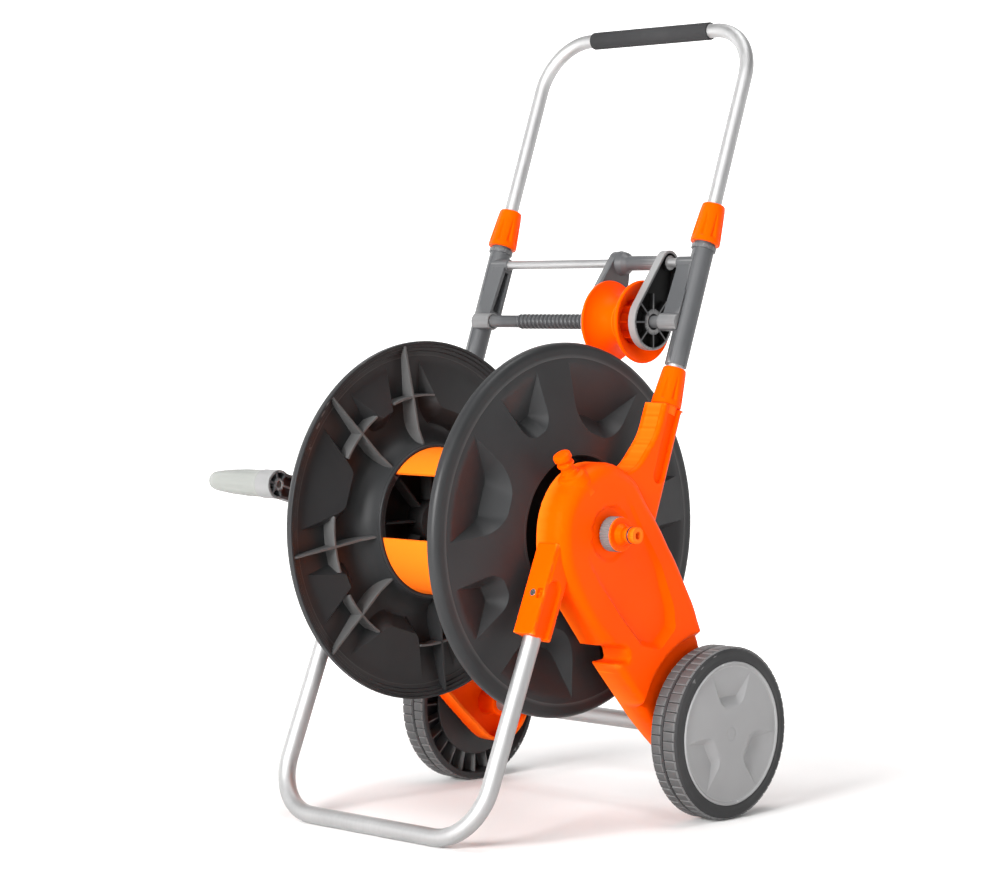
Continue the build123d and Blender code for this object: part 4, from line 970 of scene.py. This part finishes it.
def parking_spigot(shape):
    """Cone, stepped neck and lip on the head, for the loose end of a wound hose."""
    lean = math.radians(124.0)
    out = np.array([math.cos(lean), math.sin(lean)])
    side = np.array([-out[1], out[0]])
    profile = rounded([
        (52.0, 0.0, 0), (52.0, 19.5, 0), (66.0, 18.6, 2.0), (75.5, 14.6, 3.0), (77.0, 9.8, 1.5),
        (81.5, 9.0, 1.0), (82.3, 7.4, 0.6), (88.0, 7.4, 0.6), (88.8, 9.2, 0.6), (91.0, 9.2, 0.6),
        (91.8, 7.0, 0.5), (95.2, 7.0, 0.5),
        (96.2, 9.9, 0.9), (101.5, 9.6, 1.4), (102.8, 6.2, 1.0), (102.9, 0.0, 0),
    ])
    steps = 48
    points = []
    for turn in np.linspace(0, 2 * math.pi, steps, endpoint=False):
        for h, r in profile:
            y, z = out * h + side * r * math.sin(turn)
            points.append((157.0 + r * math.cos(turn), y, z))
    shape.add(points, wound_faces(steps, len(profile)))


def panel_ribs(shape):
    """Straight ribs on the inner side, cut off short of the outer wall."""
    for start, end in PANEL_RIBS:
        spots = even([Vector(start), Vector(end)], 3.0, closed=False)
        line = np.array([tuple(p) for p in spots])
        line = line[inside(line, [BODY_OUTLINE]) & (near(line, BODY_OUTLINE)[0] > 5.0)]
        shape.strip(line, RIB, level(PANEL_IN + 1.5), lambda spots: body_front(spots) - PANEL_WALL + 1.0)


def panel_bosses(shape):
    """Bosses round the water spindle and the wheel axle."""
    top = PANEL_OUT - 7
    shape.turned([(PANEL_IN, 12.3), (PANEL_IN, 32.0), (top, 32.0), (top, 12.3)], steps=96)
    boss = rounded([(PANEL_IN, 5.2, 0), (PANEL_IN, 15.0, 1.0), (173.0, 15.0, 1.0), (173.0, 5.2, 0)])
    shape.turned(boss, centre=AXLE_SPOT, steps=64)


def mast_neck(shape):
    """Neck of the mast socket, which the lower collar grips."""
    steps = 48
    rings = ((130.0, 12.0), (NECK_END, 12.0), (NECK_END, TUNNEL_HALF), (130.0, TUNNEL_HALF))
    points = []
    for turn in np.linspace(0, 2 * math.pi, steps, endpoint=False):
        for s, r in rings:
            y, z = MAST_FOOT + s * MAST_UP + r * math.sin(turn) * MAST_BACK
            points.append((TUBE_X + r * math.cos(turn), y, z))
    shape.add(points, wound_faces(steps, len(rings)))


def side_panel():
    shape = Shape()
    body_shell(shape)
    mast_socket(shape)
    leg_socket(shape)
    leg_front(shape)
    panel_ribs(shape)
    panel_bosses(shape)
    mast_neck(shape)
    return shape


for side in ("right", "left"):
    panel = side_panel()
    if side == "right":
        parking_spigot(panel)
    else:
        panel = panel.mirrored()
    panel.piece("panel_" + side, ORANGE, "frame", "orange_plastic", [side + "_side_panel"], 46.0)


# ---- wheels and hubcaps --------------------------------------------------------------------------
WHEEL_LOW, WHEEL_HIGH = node_box("wheel_right")
WHEEL_IN, WHEEL_OUT, WHEEL_R = WHEEL_LOW.x, WHEEL_HIGH.x, (WHEEL_HIGH.z - WHEEL_LOW.z) / 2
TREAD_BASE = WHEEL_R - 1.7
TREAD_BLOCKS = 56
HUBCAP_HIGH = node_box("hubcap_right")[1]
HUBCAP_R, HUBCAP_OUT = HUBCAP_HIGH.z - (AXLE - DRUM).z / MM, HUBCAP_HIGH.x
HUBCAP_SCOOPS = [(Scoop(25.8, 31.5, HUBCAP_R - 4.6, 28.5, 12.0, 0.205, 0.56, 1.3), 90.0)]


def tread_block(shape, x_low, x_high, turn):
    """Tapered tread block round the axle."""
    points = []
    for r, inset in ((TREAD_BASE - 0.6, 0.0), (WHEEL_R - 0.25, 0.5), (WHEEL_R, 0.95)):
        for x in (x_low + inset, x_high - inset):
            for side in (-1, 1):
                angle = turn + side * (4.8 - inset) / WHEEL_R
                points.append((x, AXLE_SPOT[0] + r * math.cos(angle), AXLE_SPOT[1] + r * math.sin(angle)))
    faces = [(0, 2, 3, 1), (8, 9, 11, 10)]
    for start in (0, 4):
        for a, b in ((0, 1), (1, 3), (3, 2), (2, 0)):
            faces.append((start + a, start + b, start + 4 + b, start + 4 + a))
    shape.add(points, faces)


def wheel():
    """Tyre and body in one profile, a band and two rows of blocks for a tread, and spokes inside."""
    shape = Shape()
    tyre = rounded([
        (WHEEL_IN, 86.0, 0.6), (WHEEL_IN, TREAD_BASE - 1.4, 2.2), (WHEEL_IN + 2.4, TREAD_BASE, 1.2),
        (WHEEL_OUT - 3.0, TREAD_BASE, 1.6), (WHEEL_OUT - 0.4, TREAD_BASE - 2.6, 2.0),
        (WHEEL_OUT - 0.8, 84.0, 4.0),
        (WHEEL_OUT, HUBCAP_R + 1.6, 0.8), (WHEEL_OUT - 0.4, HUBCAP_R + 0.2, 0), (202.0, HUBCAP_R + 0.2, 0),
        (202.0, 5.2, 0), (WHEEL_IN, 5.2, 0), (WHEEL_IN, 14.0, 0.8), (WHEEL_IN + 4, 15.5, 0.6),
        (WHEEL_IN + 4, 64.0, 0.8), (WHEEL_IN + 7, 63.4, 0), (WHEEL_IN + 7, 17.0, 0), (199.0, 17.0, 0),
        (199.0, 85.0, 1.0),
    ])
    shape.turned(tyre, AXLE_SPOT, 240)
    band = rounded([
        (190.2, TREAD_BASE - 0.5, 0), (190.2, WHEEL_R - 0.5, 0.3), (192.8, WHEEL_R - 0.5, 0.3),
        (192.8, TREAD_BASE - 0.5, 0),
    ])
    shape.turned(band, AXLE_SPOT, 240)
    for k in range(TREAD_BLOCKS):
        turn = 2 * math.pi * k / TREAD_BLOCKS
        tread_block(shape, WHEEL_IN + 2.2, 189.4, turn)
        tread_block(shape, 193.6, WHEEL_OUT - 2.6, turn + math.pi / TREAD_BLOCKS)
    for k in range(24):
        turn = 2 * math.pi * k / 24
        out = np.array([math.cos(turn), math.sin(turn)])
        spoke = [AXLE_SPOT + r * out for r in np.linspace(16.0, 86.5, 20)]
        shape.strip(spoke, 1.4, level(WHEEL_IN + 9.0), level(199.6))
    return shape


def hubcap_front(points):
    """Slightly crowned face with three pockets and a round seam in the middle."""
    out = np.hypot(*(points - AXLE_SPOT).T)
    crown = HUBCAP_OUT - 0.9 - 1.4 * (out / HUBCAP_R) ** 2
    seam = 0.5 * np.exp(-((out - 7.0) / 0.7) ** 2)
    return crown - seam - scoop_depth(points, HUBCAP_SCOOPS, 3, AXLE_SPOT)


def hubcap():
    shape = Shape()
    inner = HUBCAP_R - 4.4
    lines = []
    for k in range(3):
        for line in HUBCAP_SCOOPS[0][0].lines(90.0 + 120 * k):
            lines.append([spot + Vector(AXLE_SPOT) for spot in line])
    lines += [looped(ring(r, AXLE_SPOT, 36)) for r in (6.1, 7.0, 7.9)]
    dots = polar_dots(1.0, inner, 2.6) + AXLE_SPOT
    plan = mesh_plan([ring(inner, AXLE_SPOT, 180)], lines, dots, 1.2)
    shape.plate(
        plan, hubcap_front, lambda points: np.minimum(hubcap_front(points) - 1.6, HUBCAP_OUT - 3.4)
    )
    edge = hubcap_front(AXLE_SPOT + np.array([[inner, 0.0]]))[0]
    rim = rounded([
        (202.0, HUBCAP_R - 2.0, 0), (202.0, HUBCAP_R, 0.4), (HUBCAP_OUT - 1.2, HUBCAP_R, 0.8),
        (HUBCAP_OUT, HUBCAP_R - 1.8, 0.7), (edge + 0.15, inner + 0.6, 0.8), (edge - 0.2, inner - 0.8, 0),
        (edge - 1.4, inner - 0.8, 0), (edge - 1.4, HUBCAP_R - 2.0, 0),
    ])
    shape.turned(rim, AXLE_SPOT, 240)
    return shape


for side in ("right", "left"):
    tyre, cap = wheel(), hubcap()
    if side == "left":
        tyre, cap = tyre.mirrored(), cap.mirrored()
    tyre.piece("tyre_" + side, WHEEL, side + "_wheel", "wheel_plastic", ["wheel_" + side])
    cap.piece("hubcap_face_" + side, HUBCAP, side + "_wheel", "hubcap_plastic", ["hubcap_" + side])


# ---- twist collars, guide shaft, roller and crank grip -------------------------------------------
def taper(points):
    """Radius along a part, from a list of (distance, radius)."""
    return lambda s: np.interp(s, *zip(*points))


def no_dent(s, turn):
    return 0.0


def sleeve_mesh(shape, origin, axis, stations, outer, bore, steps, dent=no_dent):
    """Tube along an axis: outer(s) less dent(s, turn) outside, bore(s) inside."""
    axis = Vector(axis).normalized()
    side = axis.cross(Vector((1, 0, 0)) if abs(axis.x) < 0.9 else Vector((0, 1, 0))).normalized()
    other = axis.cross(side)
    points = []
    for turn in np.linspace(0, 2 * math.pi, steps, endpoint=False):
        out = side * math.cos(turn) + other * math.sin(turn)
        for s in stations:
            points.append(Vector(origin) + axis * s + out * (outer(s) - dent(s, turn)))
        for s in reversed(stations):
            points.append(Vector(origin) + axis * s + out * bore(s))
    shape.add(points, wound_faces(steps, 2 * len(stations)))


def collar_mesh(bottom, top, neck_r, neck_end, bore_r):
    """Tapered collar with leaf-shaped flutes that widen towards its foot."""
    length = top - bottom
    outer = taper([
        (0, 15.7), (0.7, 16.4), (3.0, 16.5), (length - 9, 13.7), (length - 5, 13.3), (length - 0.8, 12.6),
        (length, 11.9),
    ])

    def dent(s, turn):
        along = (s - 5.0) / (length - 15.0)
        if not 0 < along < 1:
            return 0.0
        width = 0.07 + 0.2 * (1 - along)
        off = (turn * 8 / (2 * math.pi)) % 1.0 - 0.5
        edge = min(along / 0.06, 1.0)
        return 2.2 * edge * (1 - along) ** 0.6 * max(0.0, 1 - abs(off / width)) ** 0.8

    def bore(s):
        """Wide over the neck and its collet, then close to the inner tube."""
        return (neck_r if s + bottom < neck_end + 10.5 else bore_r) + 0.3

    stations = [0, 0.7, 1.6, 3.0, 5.0, 5.6, 6.2] + list(np.linspace(7.5, length - 10, 12))
    stations += [length - d for d in (9, 5, 2.5, 0.8, 0)]
    shape = Shape()
    origin = (TUBE_X, *(MAST_FOOT + bottom * MAST_UP))
    sleeve_mesh(shape, origin, (0.0, *MAST_UP), stations, outer, bore, 128, dent)
    return shape


for name, bottom, top, neck_r, neck_end, bore_r in (
    ("lower_collar", 139.0, 181.5, 12.1, NECK_END, 9.5), ("upper_collar", 326.0, 370.5, 11.0, 345.0, 8.0),
):
    collar = collar_mesh(bottom, top, neck_r, neck_end, bore_r)
    for side in ("right", "left"):
        if side == "left":
            collar = collar.mirrored()
        node = name + "_" + side
        collar.piece(name + "_fluted_" + side, ORANGE, node, "orange_plastic", [node])

SHAFT_MID = (SHAFT - DRUM) / MM
SHAFT_LOW, SHAFT_HIGH = node_box("guide_shaft")
SHAFT_R, SHAFT_BORE = 7.0, 3.0
THREAD_START, THREAD_END = -87.0, 96.0
THREAD_PITCH, THREAD_HIGH, THREAD_DEEP = 6.3, 1.5, 1.3


def thread_dent(s, turn):
    """One long ridge wound round the shaft, above and below its plain surface."""
    across = ((s - turn / (2 * math.pi) * THREAD_PITCH) / THREAD_PITCH) % 1.0
    ridge = min(1.0, max(0.0, 1.75 - abs(across - 0.5) * 4.4))
    fade = min(1.0, max(0.0, (s - THREAD_START) / 3.0)) * min(1.0, max(0.0, (THREAD_END - s) / 3.0))
    return fade * (THREAD_DEEP - (THREAD_DEEP + THREAD_HIGH) * ridge)


shaft = Shape()
stations = [SHAFT_LOW.x, -90.0] + list(np.arange(THREAD_START, THREAD_END, 0.7)) + [THREAD_END, SHAFT_HIGH.x]
sleeve_mesh(
    shape=shaft, origin=(0.0, SHAFT_MID.y, SHAFT_MID.z), axis=(1, 0, 0), stations=stations,
    outer=lambda s: SHAFT_R, bore=lambda s: SHAFT_BORE, steps=40, dent=thread_dent,
)
shaft.piece("guide_shaft_thread", SHAFT_GREY, "mast", "grey_plastic", ["guide_shaft"], 50.0)

GRIP_LOW, GRIP_HIGH = node_box("crank_grip")
GRIP_LONG = GRIP_HIGH.x - GRIP_LOW.x
CRANK_MID = (CRANK - DRUM) / MM


grip_outer = taper([
    (0, 14.4), (0.8, 15.3), (2.2, 15.5), (4.0, 15.1), (30, 14.9), (55, 13.6), (GRIP_LONG - 12, 11.4),
    (GRIP_LONG - 6, 10.3), (GRIP_LONG - 3, 9.0), (GRIP_LONG - 1.2, 7.2), (GRIP_LONG - 0.3, 4.8),
    (GRIP_LONG, 2.0),
])
grip_bore = taper([(0, 4.06), (GRIP_LONG - 14.0, 4.06), (GRIP_LONG - 13.9, 1.0), (GRIP_LONG, 0.2)])


def grip_dent(s, turn):
    """Eight shallow flutes that fade out at both ends."""
    along = (s - 8.0) / (GRIP_LONG - 30.0)
    if not 0 < along < 1:
        return 0.0
    off = (turn * 8 / (2 * math.pi)) % 1.0 - 0.5
    return 0.8 * math.sin(math.pi * along) ** 0.6 * max(0.0, 1 - (off / 0.28) ** 2)


grip = Shape()
stations = [0, 0.4, 0.8, 1.5, 2.2, 3.0, 4.0, 8.0] + list(np.linspace(10, GRIP_LONG - 12, 26))
stations += [GRIP_LONG - d for d in (9, 6, 4.5, 3, 2, 1.2, 0.7, 0.3, 0)]
sleeve_mesh(
    grip, (GRIP_HIGH.x, CRANK_MID.y, CRANK_MID.z), (-1, 0, 0), stations, grip_outer, grip_bore, 96, grip_dent
)
grip.piece("crank_grip_fluted", GRIP, "crank_grip", "grip_plastic", ["crank_grip"])


# ---- camera, light and floor -------------------------------------------------------------------
CAMERA_PLACE = Vector((2.2029, -2.2167, 0.2302))      # from the middle of the drum
CAMERA_AZIMUTH, CAMERA_PITCH, CAMERA_ROLL = 44.672, 2.417, 0.06
CAMERA_LENS = 103.33


def add_camera():
    azimuth, pitch, roll = (math.radians(a) for a in (CAMERA_AZIMUTH, CAMERA_PITCH, CAMERA_ROLL))
    flat = math.cos(pitch)
    back = Vector((math.sin(azimuth) * flat, -math.cos(azimuth) * flat, math.sin(pitch)))
    right = Vector((math.cos(azimuth), math.sin(azimuth), 0.0))
    up = back.cross(right)
    side = right * math.cos(roll) + up * math.sin(roll)
    top = up * math.cos(roll) - right * math.sin(roll)
    camera = bpy.data.objects.new("camera", bpy.data.cameras.new("camera"))
    camera.data.lens = CAMERA_LENS
    camera.data.sensor_width = 36.0
    camera.data.clip_end = 60.0
    place = Matrix((side, top, back)).transposed().to_4x4()
    place.translation = DRUM + CAMERA_PLACE
    camera.matrix_world = place
    bpy.context.scene.collection.objects.link(camera)
    bpy.context.scene.camera = camera


def area_light(name, place, target, size, watts):
    data = bpy.data.lights.new(name, "AREA")
    data.shape = "RECTANGLE"
    data.size, data.size_y = size
    data.energy = watts
    lamp = bpy.data.objects.new(name, data)
    lamp.location = place
    lamp.rotation_mode = "QUATERNION"
    lamp.rotation_quaternion = (Vector(place) - Vector(target)).to_track_quat("Z", "Y")
    bpy.context.scene.collection.objects.link(lamp)


def floor_mesh():
    """Wide floor that curves up into a backdrop far behind the cart."""
    half, depth, bend, rows = 60.0, 7.0, 2.5, 16
    profile = [(-half, 0.0), (depth, 0.0)]
    for i in range(1, rows + 1):
        turn = math.pi / 2 * i / rows
        profile.append((depth + bend * math.sin(turn), bend * (1 - math.cos(turn))))
    profile.append((depth + bend, 9.0))
    turn = Matrix.Rotation(math.radians(CAMERA_AZIMUTH), 3, "Z")
    verts = []
    for along, height in profile:
        for side in (-half, half):
            flat = turn @ Vector((side, along, 0.0))
            verts.append((flat.x, flat.y, height))
    faces = [(2 * i, 2 * i + 1, 2 * i + 3, 2 * i + 2) for i in range(len(profile) - 1)]
    mesh = bpy.data.meshes.new("floor")
    mesh.from_pydata(verts, [], faces)
    mesh.shade_smooth()
    return mesh


def floor_paint():
    """Pale and slightly cloudy paint that glows white away from the cart, as in a product photo."""
    material, tree, shader = new_material("floor_paint")
    base = mixed(tree, noise(tree, 1.5, 4.0), (0.82, 0.81, 0.805), (0.8, 0.79, 0.785))
    tree.links.new(base, shader.inputs["Base Color"])
    shader.inputs["Roughness"].default_value = 0.75
    shader.inputs["Specular IOR Level"].default_value = 0.2
    where = tree.nodes.new("ShaderNodeTexCoord")
    distance = tree.nodes.new("ShaderNodeVectorMath")
    distance.operation = "LENGTH"
    tree.links.new(where.outputs["Object"], distance.inputs[0])
    shader.inputs["Emission Color"].default_value = (1.0, 1.0, 1.0, 1.0)
    glow = ramp(tree, distance.outputs["Value"], 0.35, 1.5, 0.0, 0.95)
    tree.links.new(glow, shader.inputs["Emission Strength"])
    return material


def add_floor():
    mesh = floor_mesh()
    mesh.materials.append(floor_paint())
    floor = bpy.data.objects.new("floor", mesh)
    bpy.context.scene.collection.objects.link(floor)


def add_world(horizon, sky):
    """White near the horizon, so that low views keep a white background, and dimmer above."""
    world = bpy.data.worlds.new("studio")
    bpy.context.scene.world = world
    world.use_nodes = True
    tree = world.node_tree
    where = tree.nodes.new("ShaderNodeTexCoord")
    split = tree.nodes.new("ShaderNodeSeparateXYZ")
    tree.links.new(where.outputs["Generated"], split.inputs["Vector"])
    background = tree.nodes["Background"]
    background.inputs["Color"].default_value = (1.0, 1.0, 1.0, 1.0)
    strength = ramp(tree, split.outputs["Z"], 0.17, 0.3, horizon, sky)
    tree.links.new(strength, background.inputs["Strength"])


add_camera()
add_floor()
add_world(1.0, 0.15)
CENTRE = (0.0, 0.0, 0.4)
area_light("key", (0.45, -3.3, 1.3), CENTRE, (1.5, 1.1), 205.0)
area_light("left_strip", (-2.9, -0.6, 1.5), CENTRE, (0.8, 2.4), 20.0)
area_light("right_fill", (1.7, -1.4, 1.9), (0.1, 0.0, 0.5), (0.7, 0.7), 14.0)
area_light("top", (0.3, 0.2, 3.4), CENTRE, (1.8, 1.4), 50.0)
bpy.context.scene.view_settings.view_transform = "Standard"
